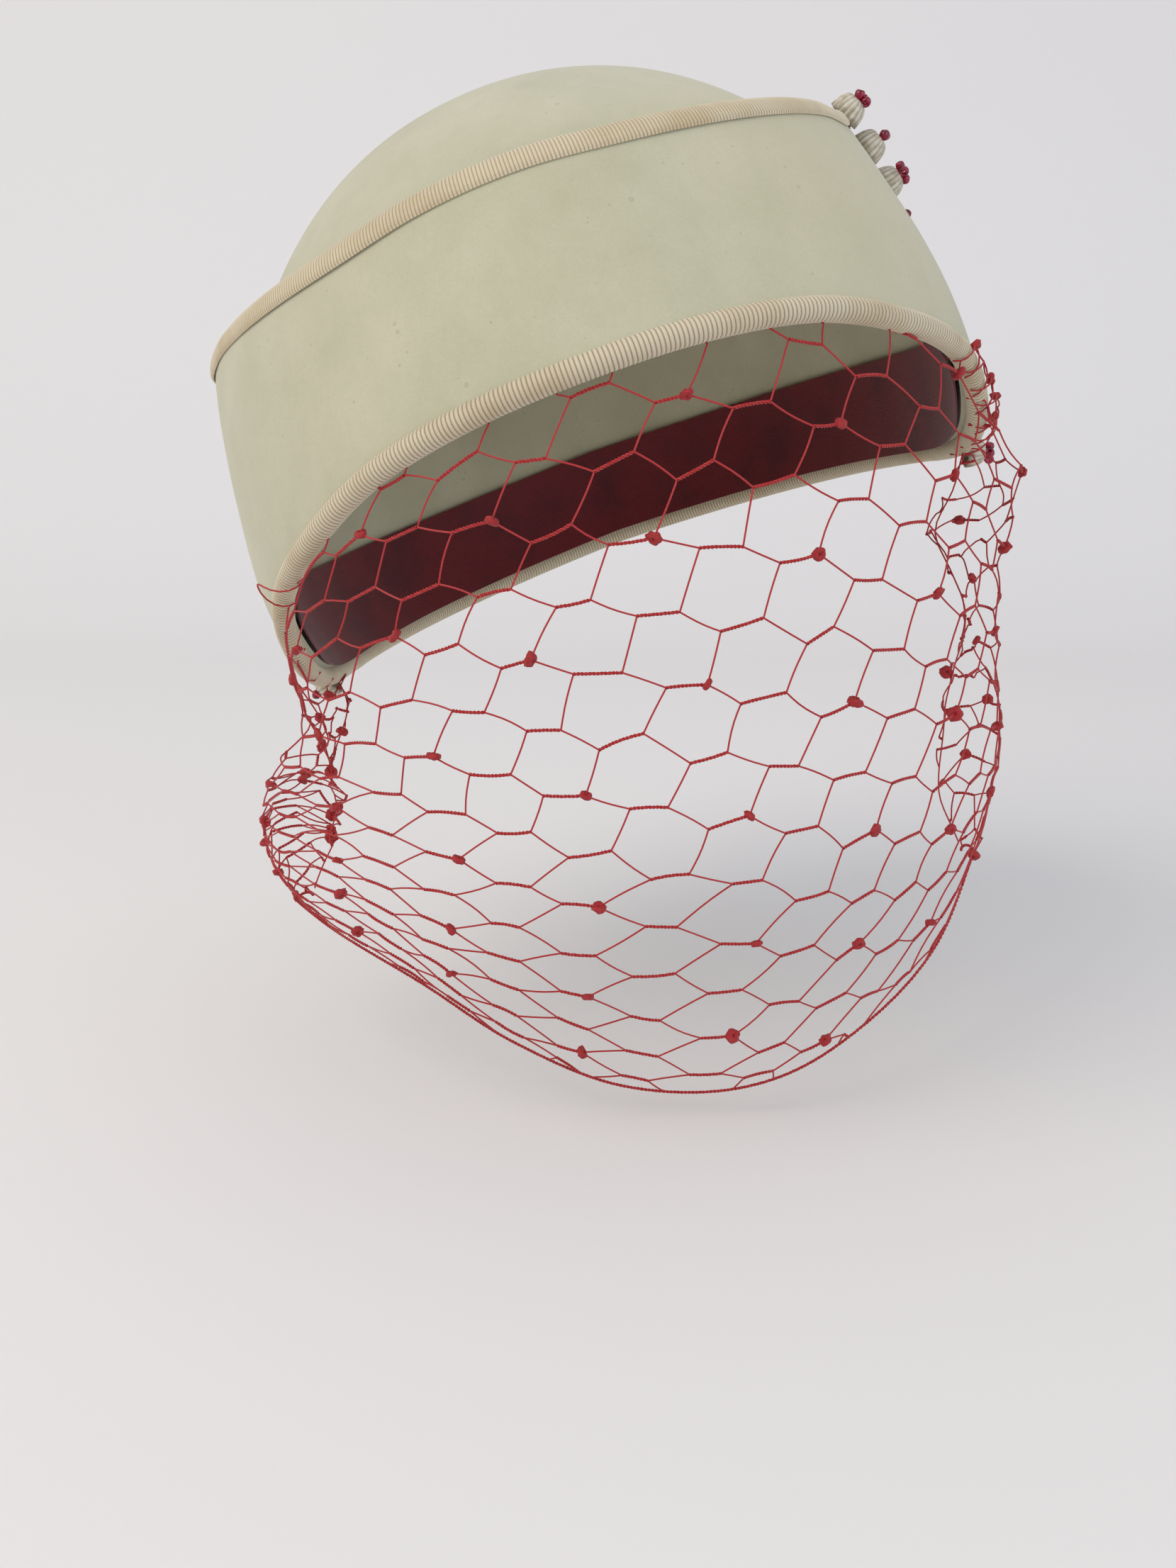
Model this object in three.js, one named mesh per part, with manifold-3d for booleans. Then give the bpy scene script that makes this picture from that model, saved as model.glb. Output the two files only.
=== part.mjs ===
// Felt cuff hat with a face veil, in millimetres, +Z up, as it sits on a head.
// The origin is the inside of the crown where the top of the head meets it.
// The hat itself is drawn upright, in its own frame, and leans to the wearer's right.
import * as THREE from "three";
import { mergeVertices } from "three/addons/utils/BufferGeometryUtils.js";
import Module from "manifold-3d";

// How the hat sits
const LEAN_DEG = 19.85;
const TURN_DEG = 3.5;
const SEAT_X = 25;
const SEAT_Y = 2;

// Felt and trims
const FELT = 2;
const GAP = 0.3;
const WALL_GAP = 0.6;
const ROLL_RADIUS = 2.6;
const BINDING_WIDTH = 4.3;
const BINDING_THICK = 0.6;
const RIBBON_WIDTH = 24;
const RIBBON_THICK = 0.8;
const RIBBON_OVERHANG = 1.5;

// Cuff: half its width at each height, and its depth front to back as a share of the width
const DEPTH_RATIO = 1.14;
const CUFF_PROFILE = [
  { height: -45, halfWidth: 82 },
  { height: -30, halfWidth: 87.9 },
  { height: -15, halfWidth: 90.4 },
  { height: 0, halfWidth: 89.8 },
  { height: 15, halfWidth: 87.1 },
  { height: 30, halfWidth: 82.6 },
  { height: 45, halfWidth: 77.3 },
  { height: 60, halfWidth: 71.7 },
];

// Lower and upper edge of the cuff, by angle from the front; the rear rows are the crown's own edge.
// Flare is how far the upper edge stands out from the profile.
const EDGES = [
  { angle: -180, low: -32, high: 44, flare: 0 },
  { angle: -130, low: -34, high: 44, flare: 1 },
  { angle: -105, low: -35, high: 45, flare: 3 },
  { angle: -92, low: -34.5, high: 46, flare: 4.5 },
  { angle: -84, low: -32, high: 46.5, flare: 4 },
  { angle: -76, low: -26.5, high: 47.5, flare: 2.5 },
  { angle: -68, low: -17.2, high: 48.3, flare: 1.5 },
  { angle: -60, low: -9.4, high: 49, flare: 0.5 },
  { angle: -42, low: 1.7, high: 50, flare: 0 },
  { angle: -30, low: 7.4, high: 51, flare: 0 },
  { angle: -15, low: 10.6, high: 53.2, flare: 0 },
  { angle: 0, low: 11.4, high: 53.8, flare: 0 },
  { angle: 15, low: 10.6, high: 52.4, flare: 0 },
  { angle: 30, low: 7.4, high: 51.2, flare: 0 },
  { angle: 42, low: 1.7, high: 50.3, flare: 0 },
  { angle: 60, low: -9.4, high: 49, flare: 0 },
  { angle: 68, low: -17.2, high: 48.4, flare: 0 },
  { angle: 76, low: -26.5, high: 48, flare: 0.8 },
  { angle: 84, low: -32, high: 49, flare: 2.6 },
  { angle: 92, low: -34.5, high: 49.5, flare: 4 },
  { angle: 105, low: -35, high: 49.5, flare: 3 },
  { angle: 130, low: -34, high: 46, flare: 0 },
  { angle: 180, low: -32, high: 44, flare: 0 },
];

// Crown: a rounded dome whose sides run down inside the cuff
const DOME_HALF_WIDTH = 91;
const DOME_DEPTH_RATIO = 1.2;
const DOME_RISE = 111;
const DOME_CENTRE_HEIGHT = -29.7;
const DOME_CENTRE_BACK = 4;
const DOME_POWER = 2.14;

// Rear ends of the cuff by height, where the felt is drawn in to the crown; they bow back halfway up
const CUFF_ENDS = [
  { height: -36, left: -112, right: 106 },
  { height: 10, left: -121, right: 118 },
  { height: 50, left: -112, right: 92 },
];
const SLANT_FROM = 60;
const DRAWN_IN_DEG = 6;
const DRAWN_IN_GAP = 1.4;

// Angle of the row of cups down each side, by height
const CUP_ROWS = [
  { height: -36, left: -97, right: 92 },
  { height: -12, left: -100, right: 102 },
  { height: 8, left: -111, right: 107 },
  { height: 20, left: -111, right: 98 },
  { height: 32, left: -108, right: 88 },
  { height: 48, left: -105, right: 82 },
];

// Cups and the beads on their tips
const CUPS_A_SIDE = 11;
const CUP_TOP_HEIGHT = 47.5;
const CUP_PITCH = 8.35;
const CUP_RADIUS = 3.9;
const CUP_SHOULDER_RADIUS = 3.5;
const CUP_SHOULDER_HEIGHT = 1.8;
const CUP_TIP_RADIUS = 1.3;
const CUP_HEIGHT = 5;
const CUP_SIDES = 10;
const BEAD_RADIUS = 1.2;
const BEAD_SPACING = 2.2;
const BEAD_SIDES = 10;
const BEAD_ROWS = 4;
const BEAD_COUNTS = [3, 2];

// Veil: sections from the wearer's right to the left, each hung from the roll at an angle of the hat,
// through a middle point to the free lower edge. Wave is how far it swings out below and in above.
const VEIL_SECTIONS = [
  { angle: -98, mid: [-73, -11, -168], low: [-75, -27, -193], wave: 6 },
  { angle: -75, mid: [-75, -43, -163], low: [-59, -43, -198], wave: 3 },
  { angle: -50, mid: [-58, -75, -153], low: [-36, -59, -205], wave: 0 },
  { angle: -25, mid: [-29, -95, -155], low: [-14, -67, -216], wave: 0 },
  { angle: 0, mid: [5, -100, -157], low: [11, -70, -225], wave: 0 },
  { angle: 25, mid: [43, -96, -149], low: [38, -68, -226], wave: 0 },
  { angle: 50, mid: [75, -77, -141], low: [61, -61, -218], wave: 0 },
  { angle: 75, mid: [96, -45, -137], low: [85, -45, -200], wave: 0 },
  { angle: 93, mid: [101, -7, -133], low: [102, -17, -174], wave: -4 },
];
const NET_COLUMNS = 13;
const NET_ROWS = 9;
const STRAND = 1;
const SHARPEST_MITRE = 0.3;

// Angles from the front at which all the walls have a section, closer together where the edge bends
const HALF_ROUND = [0, 10, 20, 30, 40, 49, 57, 63, 69, 75, 81, 88, 97, 107, 120, 135, 150, 165, 180];
const ROLL_SIDES = 8;
const CUFF_MIDDLE_ROWS = 3;
const DOME_SHARES = [0.45, 0.75, 0.93, 1];

// Steps over which slopes are measured, in degrees and millimetres, and in shares of the veil
const SLOPE_STEP = 0.5;
const VEIL_STEP = 0.01;

// Closest that two sections may lie, in degrees, the shortest edge, and the points that are one
const CLOSEST_SECTIONS = 0.5;
const SHORTEST_EDGE = 1e-3;
const WELD = 1e-4;

const felt = new THREE.MeshStandardMaterial({ color: "#c9cdb2", roughness: 0.95, metalness: 0 });
const grosgrain = new THREE.MeshStandardMaterial({ color: "#e2d5b4", roughness: 0.8, metalness: 0 });
const ribbon = new THREE.MeshStandardMaterial({ color: "#5c1416", roughness: 0.75, metalness: 0 });
const net = new THREE.MeshStandardMaterial({ color: "#c2272d", roughness: 0.7, metalness: 0 });
const satin = new THREE.MeshStandardMaterial({ color: "#cfc8b2", roughness: 0.5, metalness: 0 });
const glass = new THREE.MeshStandardMaterial({ color: "#8e0f2c", roughness: 0.08, metalness: 0 });

const wasm = await Module();
wasm.setup();

const radians = THREE.MathUtils.degToRad;

// Value of a table's column at a place between its rows, on a smooth curve through them
function along(table, key, column, at) {
  const last = table.length - 1;
  let i = 0;
  while (i < last - 1 && at > table[i + 1][key]) {
    i += 1;
  }
  const a = table[i];
  const b = table[i + 1];
  const before = table[Math.max(i - 1, 0)];
  const after = table[Math.min(i + 2, last)];
  const span = b[key] - a[key];
  const t = THREE.MathUtils.clamp((at - a[key]) / span, 0, 1);
  const slopeA = (b[column] - before[column]) / (b[key] - before[key]);
  const slopeB = (after[column] - a[column]) / (after[key] - a[key]);
  const h = t * t * (3 - 2 * t);
  const startPull = t * (1 - t) * (1 - t) * span * slopeA;
  const endPull = t * t * (t - 1) * span * slopeB;
  return a[column] * (1 - h) + b[column] * h + startPull + endPull;
}

function edgeLow(angle) {
  return along(EDGES, "angle", "low", angle);
}

function edgeHigh(angle) {
  return along(EDGES, "angle", "high", angle);
}

function rowAngle(side, height) {
  return along(CUP_ROWS, "height", side, height);
}

// Point on the cuff's barrel shape, some depth inside its outer face
function barrelPoint(angle, height, depth) {
  const share = THREE.MathUtils.smoothstep(height, 0, edgeHigh(angle));
  const flare = along(EDGES, "angle", "flare", angle) * share;
  const halfWidth = along(CUFF_PROFILE, "height", "halfWidth", height);
  const across = halfWidth + flare - depth;
  const deep = halfWidth * DEPTH_RATIO + flare - depth;
  const a = radians(angle);
  return new THREE.Vector3(across * Math.sin(a), -deep * Math.cos(a), height);
}

// Point on the dome, some depth inside its outer face
function domePoint(angle, height, depth) {
  const rise = Math.min((height - DOME_CENTRE_HEIGHT) / (DOME_RISE - depth), 1);
  const share = Math.pow(1 - Math.pow(Math.max(rise, 0), DOME_POWER), 1 / DOME_POWER);
  const a = radians(angle);
  const across = (DOME_HALF_WIDTH - depth) * share;
  const deep = (DOME_HALF_WIDTH * DOME_DEPTH_RATIO - depth) * share;
  return new THREE.Vector3(across * Math.sin(a), DOME_CENTRE_BACK * share - deep * Math.cos(a), height);
}

// Point on the crown: the dome, held inside the cuff's shape lower down
function crownPoint(angle, height, depth) {
  const dome = domePoint(angle, height, depth);
  if (height > CUFF_PROFILE.at(-1).height) {
    return dome;
  }
  const halfWidth = along(CUFF_PROFILE, "height", "halfWidth", height);
  const inside = FELT + WALL_GAP + depth;
  const a = radians(angle);
  const held = new THREE.Vector3(
    (halfWidth - inside) * Math.sin(a),
    -(halfWidth * DEPTH_RATIO - inside) * Math.cos(a),
    height,
  );
  const domeReach = Math.hypot(dome.x, dome.y);
  const heldReach = Math.hypot(held.x, held.y);
  return domeReach < heldReach ? dome : held;
}

function cuffEnd(angle, height) {
  return Math.abs(along(CUFF_ENDS, "height", angle < 0 ? "left" : "right", height));
}

// Point on the cuff, which is drawn in to the crown at its two rear ends
function cuffPoint(angle, height, depth) {
  const end = cuffEnd(angle, height);
  const drawnIn = THREE.MathUtils.smoothstep(Math.abs(angle), end - DRAWN_IN_DEG, end);
  const atCrown = crownPoint(angle, height, depth - FELT - DRAWN_IN_GAP);
  return barrelPoint(angle, height, depth).lerp(atCrown, drawnIn);
}

// Angle of a section at some height, moved back or forward with the cuff's rear end
function slanted(angle, height) {
  const lowest = cuffEnd(angle, CUFF_ENDS[0].height);
  const share = (cuffEnd(angle, height) - SLANT_FROM) / (lowest - SLANT_FROM);
  const past = Math.max(Math.abs(angle) - SLANT_FROM, 0);
  return Math.sign(angle) * (Math.abs(angle) - past + past * share);
}

// Section angles of the cuff, with its two ends and the starts of the drawn-in felt
function cuffAngles() {
  const { left, right } = CUFF_ENDS[0];
  const bends = [DRAWN_IN_DEG, DRAWN_IN_DEG / 2];
  return anglesBetween(left, right, [...bends.map((b) => left + b), ...bends.map((b) => right - b)]);
}

function evenly(from, to, steps) {
  return Array.from({ length: steps + 1 }, (_, i) => from + ((to - from) * i) / steps);
}

// Closed mesh from triangles given as triples of points, without those that have no area
function meshOf(triangles) {
  const isEdge = (a, b) => a.distanceTo(b) > SHORTEST_EDGE;
  const solid = triangles.filter(([a, b, c]) => isEdge(a, b) && isEdge(b, c) && isEdge(c, a));
  const geometry = new THREE.BufferGeometry().setFromPoints(solid.flat());
  return mergeVertices(geometry, WELD);
}

// Solid through a row of like sections, each a strip's one face and then its other face back.
// It closes on itself as a ring, or ends in two caps.
function loft(sections, isRing) {
  const count = sections[0].length;
  const triangles = [];
  const quad = (a, b, c, d) => triangles.push([a, b, c], [a, c, d]);
  const lastStep = isRing ? sections.length : sections.length - 1;
  for (let i = 0; i < lastStep; i += 1) {
    const here = sections[i];
    const next = sections[(i + 1) % sections.length];
    for (let j = 0; j < count; j += 1) {
      const k = (j + 1) % count;
      quad(here[j], next[j], next[k], here[k]);
    }
  }
  if (!isRing) {
    const first = sections[0];
    const last = sections.at(-1);
    for (let j = 0; j < count / 2 - 1; j += 1) {
      const back = count - 1 - j;
      quad(first[j], first[j + 1], first[back - 1], first[back]);
      quad(last[j], last[back], last[back - 1], last[j + 1]);
    }
  }
  return meshOf(triangles);
}

// Section angles all the way round, from the back by the wearer's right to the back again
const ROUND = [...HALF_ROUND.slice(1, -1).map((angle) => -angle).reverse(), ...HALF_ROUND];

// Section angles from one end to another, with the ends and any others that a piece needs
function anglesBetween(from, to, others = []) {
  const isWithin = (angle) => angle > from + CLOSEST_SECTIONS && angle < to - CLOSEST_SECTIONS;
  const within = [...ROUND, ...others].filter(isWithin);
  return [from, ...within.sort((a, b) => a - b), to];
}

// Lower end of the felt, clear of the roll also where the edge climbs
function feltBottom(angle) {
  const ahead = rollAhead(angle);
  const level = Math.hypot(ahead.x, ahead.y) / ahead.length();
  return edgeLow(angle) + (ROLL_RADIUS + GAP) / level;
}

// Heights of the ribbon's rows, which the crown and the cuff share
function lowerRows(angle) {
  const low = feltBottom(angle);
  return [low, low + RIBBON_WIDTH / 2, low + RIBBON_WIDTH];
}

// Felt dome with its lower edge just above the roll
function crownGeometry() {
  const sections = ROUND.map((angle) => {
    const middle = edgeHigh(angle);
    const rows = (top) => [
      ...lowerRows(angle),
      middle,
      ...DOME_SHARES.map((share) => middle + (top - middle) * share),
    ];
    const outerTop = DOME_CENTRE_HEIGHT + DOME_RISE;
    const outer = rows(outerTop).map((height) => crownPoint(angle, height, 0));
    const inner = rows(outerTop - FELT).map((height) => crownPoint(angle, height, FELT));
    return [...outer, ...inner.reverse()];
  });
  return loft(sections, true);
}

// Deep felt cuff, from just above the roll to just under the fold of its binding
function cuffGeometry() {
  const sections = cuffAngles().map((angle) => {
    const lower = lowerRows(angle);
    const hem = edgeHigh(angle) - BINDING_WIDTH;
    const high = edgeHigh(angle) - BINDING_THICK - GAP;
    const middle = evenly(lower.at(-1), hem, CUFF_MIDDLE_ROWS).slice(1);
    const heights = [...lower, ...middle, high];
    const outer = heights.map((height) => cuffPoint(slanted(angle, height), height, 0));
    const inner = heights.map((height) => cuffPoint(slanted(angle, height), height, FELT));
    return [...outer, ...inner.reverse()];
  });
  return loft(sections, false);
}

// Ribbed binding, folded over the whole of the cuff's upper edge
function bindingGeometry() {
  const sections = cuffAngles().map((angle) => {
    const high = edgeHigh(angle);
    const hem = high - BINDING_WIDTH;
    const fold = high - BINDING_THICK;
    const outside = -GAP - BINDING_THICK;
    const inside = FELT + GAP + BINDING_THICK;
    const at = (height, depth) => cuffPoint(slanted(angle, height), height, depth);
    const face = [at(hem, outside), at(high, outside), at(high, inside), at(hem, inside)];
    const lining = [at(hem, FELT + GAP), at(fold, FELT + GAP), at(fold, -GAP), at(hem, -GAP)];
    return [...face, ...lining];
  });
  return loft(sections, false);
}

// Middle line of the corded roll, all the way round the lower edge
function rollCentre(angle) {
  return cuffPoint(angle, edgeLow(angle), FELT / 2);
}

// Step along that line at an angle
function rollAhead(angle) {
  return rollCentre(angle + SLOPE_STEP).sub(rollCentre(angle - SLOPE_STEP));
}

function rollGeometry() {
  const sections = ROUND.map((angle) => {
    const centre = rollCentre(angle);
    const ahead = rollAhead(angle).normalize();
    const up = new THREE.Vector3(0, 0, 1).addScaledVector(ahead, -ahead.z).normalize();
    const out = new THREE.Vector3().crossVectors(ahead, up);
    return evenly(0, 2 * Math.PI, ROLL_SIDES)
      .slice(0, -1)
      .map((a) =>
        centre
          .clone()
          .addScaledVector(up, ROLL_RADIUS * Math.sin(a))
          .addScaledVector(out, ROLL_RADIUS * Math.cos(a)),
      );
  });
  return loft(sections, true);
}

// Ribbon round the inside of the crown, a little past its lower edge
function headRibbonGeometry() {
  const depth = FELT + WALL_GAP;
  const sections = ROUND.map((angle) => {
    const [low, ...upper] = lowerRows(angle);
    const heights = [low - RIBBON_OVERHANG, ...upper];
    const outer = heights.map((height) => crownPoint(angle, height, depth));
    const inner = heights.map((height) => crownPoint(angle, height, depth + RIBBON_THICK));
    return [...outer, ...inner.reverse()];
  });
  return loft(sections, true);
}

// Place and outward direction of one cup in a row down the cuff's rear end
function cupPlace(side, index) {
  const height = CUP_TOP_HEIGHT - index * CUP_PITCH;
  const angle = rowAngle(side, height);
  const point = cuffPoint(angle, height, 0);
  const round = cuffPoint(angle + SLOPE_STEP, height, 0).sub(cuffPoint(angle - SLOPE_STEP, height, 0));
  const upward = cuffPoint(angle, height + SLOPE_STEP, 0).sub(cuffPoint(angle, height - SLOPE_STEP, 0));
  const out = new THREE.Vector3().crossVectors(round, upward).normalize();
  const onRoll = height - CUP_RADIUS < edgeLow(angle) + ROLL_RADIUS;
  const onBinding = height + CUP_RADIUS > edgeHigh(angle) - BINDING_WIDTH;
  const lift = GAP + (onRoll ? ROLL_RADIUS - FELT / 2 : 0) + (onBinding ? BINDING_THICK + GAP : 0);
  return { base: point.addScaledVector(out, lift), out };
}

function cupGeometry() {
  const profile = [
    new THREE.Vector2(0, 0),
    new THREE.Vector2(CUP_RADIUS, 0),
    new THREE.Vector2(CUP_SHOULDER_RADIUS, CUP_SHOULDER_HEIGHT),
    new THREE.Vector2(CUP_TIP_RADIUS, CUP_HEIGHT),
    new THREE.Vector2(0, CUP_HEIGHT),
  ];
  return new THREE.LatheGeometry(profile, CUP_SIDES);
}

function solidOf(geometry) {
  const bare = geometry.clone();
  bare.deleteAttribute("normal");
  bare.deleteAttribute("uv");
  const merged = mergeVertices(bare, WELD);
  return new wasm.Manifold(
    new wasm.Mesh({
      numProp: 3,
      vertProperties: merged.attributes.position.array,
      triVerts: new Uint32Array(merged.index.array),
    }),
  );
}

function geometryOf(solid) {
  const mesh = solid.getMesh();
  const geometry = new THREE.BufferGeometry();
  geometry.setAttribute("position", new THREE.BufferAttribute(mesh.vertProperties, 3));
  geometry.setIndex(new THREE.BufferAttribute(mesh.triVerts, 1));
  return geometry;
}

// Ring of touching beads on a cup's tip, with the cup's axis along +Y
function beadClusterGeometry(count) {
  const ringRadius = BEAD_SPACING / 2 / Math.sin(Math.PI / count);
  let cluster;
  for (let i = 0; i < count; i += 1) {
    const turn = (2 * Math.PI * i) / count;
    const bead = new THREE.SphereGeometry(BEAD_RADIUS, BEAD_SIDES, BEAD_ROWS);
    bead.rotateY(turn);
    bead.translate(
      ringRadius * Math.cos(turn),
      CUP_HEIGHT + GAP + BEAD_RADIUS,
      ringRadius * Math.sin(turn),
    );
    const solid = solidOf(bead);
    cluster = cluster ? cluster.add(solid) : solid;
  }
  return geometryOf(cluster);
}

// Frame of the leaning hat; its seat point lands on the origin
const hat = new THREE.Group();
hat.rotation.set(0, -radians(LEAN_DEG), radians(TURN_DEG), "YXZ");

function seatPoint() {
  const top = DOME_RISE - FELT;
  const across = SEAT_X / (DOME_HALF_WIDTH - FELT);
  const back = (SEAT_Y - DOME_CENTRE_BACK) / (DOME_HALF_WIDTH * DOME_DEPTH_RATIO - FELT);
  const reach = Math.hypot(across, back);
  const height = DOME_CENTRE_HEIGHT + top * Math.pow(1 - Math.pow(reach, DOME_POWER), 1 / DOME_POWER);
  return new THREE.Vector3(SEAT_X, SEAT_Y, height);
}

hat.position.copy(seatPoint().applyEuler(hat.rotation).negate());
hat.updateMatrixWorld(true);

// Point where a veil section hangs from the underside of the roll, in the frame of the whole
function veilTop(angle) {
  const below = rollCentre(angle);
  below.z -= ROLL_RADIUS + GAP + STRAND;
  return below.applyMatrix4(hat.matrixWorld);
}

// Point of the veil: u runs from the first section to the last, v from the roll to the free edge
function veilPoint(u, v) {
  const rows = VEIL_SECTIONS.map((row, index) => ({
    index,
    angle: row.angle,
    midX: row.mid[0],
    midY: row.mid[1],
    midZ: row.mid[2],
    lowX: row.low[0],
    lowY: row.low[1],
    lowZ: row.low[2],
    wave: row.wave,
  }));
  const at = u * (rows.length - 1);
  const value = (column) => along(rows, "index", column, at);
  const top = veilTop(value("angle"));
  const mid = new THREE.Vector3(value("midX"), value("midY"), value("midZ"));
  const low = new THREE.Vector3(value("lowX"), value("lowY"), value("lowZ"));
  const pull = mid.clone().multiplyScalar(2).addScaledVector(top, -0.5).addScaledVector(low, -0.5);
  const point = top
    .clone()
    .multiplyScalar((1 - v) * (1 - v))
    .addScaledVector(pull, 2 * v * (1 - v))
    .addScaledVector(low, v * v);
  const outward = Math.sign(point.x) * value("wave") * Math.sin(2 * Math.PI * v);
  point.x -= outward;
  return point;
}

// Six-sided gaps in staggered rows, each a list of its corners as column and row numbers
function netGaps() {
  const gaps = [];
  for (let row = 0; row < NET_ROWS; row += 1) {
    const isShifted = row % 2 === 1;
    const columns = isShifted ? NET_COLUMNS - 1 : NET_COLUMNS;
    for (let column = 0; column < columns; column += 1) {
      const x = column + (isShifted ? 1 : 0.5);
      gaps.push([
        [x, row],
        [x - 0.5, row + 1 / 3],
        [x - 0.5, row + 1],
        [x, row + 4 / 3],
        [x + 0.5, row + 1],
        [x + 0.5, row + 1 / 3],
      ]);
    }
  }
  return gaps;
}

// Net as one solid: a strand of square section along every side of every gap
function netGeometry() {
  const keyOf = ([x, y]) => Math.round(x * 2) + "_" + Math.round(y * 3);
  const corners = new Map();
  const next = new Map();
  for (const gap of netGaps()) {
    gap.forEach((corner, i) => {
      const to = gap[(i + 1) % gap.length];
      corners.set(keyOf(corner), corner);
      next.set(keyOf(corner) + ">" + keyOf(to), keyOf(gap[(i + 2) % gap.length]));
    });
  }
  const inside = [...next.keys()].map((side) => side.split(">"));
  const rim = inside.filter(([a, b]) => !next.has(b + ">" + a)).map(([a, b]) => [b, a]);
  const rimFrom = new Map(rim);
  rim.forEach(([a, b]) => next.set(a + ">" + b, rimFrom.get(b)));

  const place = new Map();
  const normal = new Map();
  for (const [key, [x, y]] of corners) {
    const u = x / NET_COLUMNS;
    const v = y / (NET_ROWS + 1 / 3);
    const acrossU = veilPoint(Math.min(u + VEIL_STEP, 1), v).sub(veilPoint(Math.max(u - VEIL_STEP, 0), v));
    const acrossV = veilPoint(u, Math.min(v + VEIL_STEP, 1)).sub(veilPoint(u, Math.max(v - VEIL_STEP, 0)));
    place.set(key, veilPoint(u, v));
    normal.set(key, new THREE.Vector3().crossVectors(acrossV, acrossU).normalize());
  }

  // Corner of a gap at b, between the sides a-b and b-c, moved into the gap by half a strand
  const offset = (a, b, c) => {
    const n = normal.get(b);
    const flat = (v) => v.addScaledVector(n, -v.dot(n)).normalize();
    const arriving = flat(place.get(b).clone().sub(place.get(a)));
    const leaving = flat(place.get(c).clone().sub(place.get(b)));
    const sideways = (v) => new THREE.Vector3().crossVectors(n, v);
    const middle = sideways(arriving).add(sideways(leaving)).normalize();
    const reach = STRAND / 2 / Math.max(middle.dot(sideways(arriving)), SHARPEST_MITRE);
    return place.get(b).clone().addScaledVector(middle, reach);
  };
  const faces = (point, b) => [
    point.clone().addScaledVector(normal.get(b), STRAND / 2),
    point.clone().addScaledVector(normal.get(b), -STRAND / 2),
  ];
  const at = new Map();
  for (const [side, c] of next) {
    const [a, b] = side.split(">");
    at.set(side, faces(offset(a, b, c), b));
  }
  const before = new Map();
  for (const [side, c] of next) {
    const [a, b] = side.split(">");
    before.set(b + ">" + c, a);
  }
  // The two ends of a side, on the edge of the gap to its left
  const startOf = (a, b) => at.get(before.get(a + ">" + b) + ">" + a);
  const endOf = (a, b) => at.get(a + ">" + b);

  const triangles = [];
  const quad = (a, b, c, d) => triangles.push([a, b, c], [a, c, d]);
  for (const side of next.keys()) {
    const [a, b] = side.split(">");
    const [startFront, startBack] = startOf(a, b);
    const [endFront, endBack] = endOf(a, b);
    quad(startFront, endFront, endBack, startBack);
    if (a < b) {
      const [farStartFront, farStartBack] = startOf(b, a);
      const [farEndFront, farEndBack] = endOf(b, a);
      quad(startFront, farEndFront, farStartFront, endFront);
      quad(startBack, endBack, farStartBack, farEndBack);
    }
  }
  for (const key of corners.keys()) {
    const arriving = [...next.keys()].filter((side) => side.endsWith(">" + key));
    if (arriving.length !== 3) {
      continue;
    }
    const [first] = arriving;
    const turn = [first];
    while (turn.length < 3) {
      const from = next.get(turn.at(-1));
      turn.push(from + ">" + key);
    }
    const [a, b, c] = turn.map((side) => at.get(side));
    triangles.push([a[0], c[0], b[0]]);
    triangles.push([a[1], b[1], c[1]]);
  }
  return meshOf(triangles);
}

function named(name, geometry, material) {
  const mesh = new THREE.Mesh(geometry, material);
  mesh.name = name;
  return mesh;
}

hat.add(named("crown", crownGeometry(), felt));
hat.add(named("cuff_band", cuffGeometry(), felt));
hat.add(named("top_binding", bindingGeometry(), grosgrain));
hat.add(named("edge_roll", rollGeometry(), grosgrain));
hat.add(named("head_ribbon", headRibbonGeometry(), ribbon));

const cupShape = cupGeometry();
const beadShapes = BEAD_COUNTS.map(beadClusterGeometry);
for (const side of ["left", "right"]) {
  for (let index = 0; index < CUPS_A_SIDE; index += 1) {
    const number = String(index + 1).padStart(2, "0");
    const { base, out } = cupPlace(side, index);
    const seat = new THREE.Group();
    seat.position.copy(base);
    seat.quaternion.setFromUnitVectors(new THREE.Vector3(0, 1, 0), out);
    seat.add(named("cup_" + side + "_" + number, cupShape, satin));
    seat.add(named("beads_" + side + "_" + number, beadShapes[index % beadShapes.length], glass));
    hat.add(seat);
  }
}

const group = new THREE.Group();
group.add(hat);
group.add(named("veil_net", netGeometry(), net));

export default group;
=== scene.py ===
"""Felt cuff hat with a red face veil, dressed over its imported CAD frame, in metres."""

import math
import random
from functools import lru_cache

import bpy
from mathutils import Matrix, Vector, noise


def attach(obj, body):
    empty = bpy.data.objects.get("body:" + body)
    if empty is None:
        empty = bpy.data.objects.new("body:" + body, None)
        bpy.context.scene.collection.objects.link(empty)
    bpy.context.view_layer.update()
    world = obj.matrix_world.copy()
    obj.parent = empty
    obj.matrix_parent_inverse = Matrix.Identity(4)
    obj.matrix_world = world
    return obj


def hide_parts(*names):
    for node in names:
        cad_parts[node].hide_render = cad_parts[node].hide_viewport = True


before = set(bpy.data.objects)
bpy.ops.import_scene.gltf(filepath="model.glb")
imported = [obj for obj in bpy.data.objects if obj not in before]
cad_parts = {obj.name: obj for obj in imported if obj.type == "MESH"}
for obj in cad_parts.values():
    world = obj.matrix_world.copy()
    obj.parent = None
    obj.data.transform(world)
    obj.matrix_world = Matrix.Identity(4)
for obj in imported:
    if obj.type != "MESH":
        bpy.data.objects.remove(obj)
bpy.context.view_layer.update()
bpy.ops.object.select_all(action="DESELECT")


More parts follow.
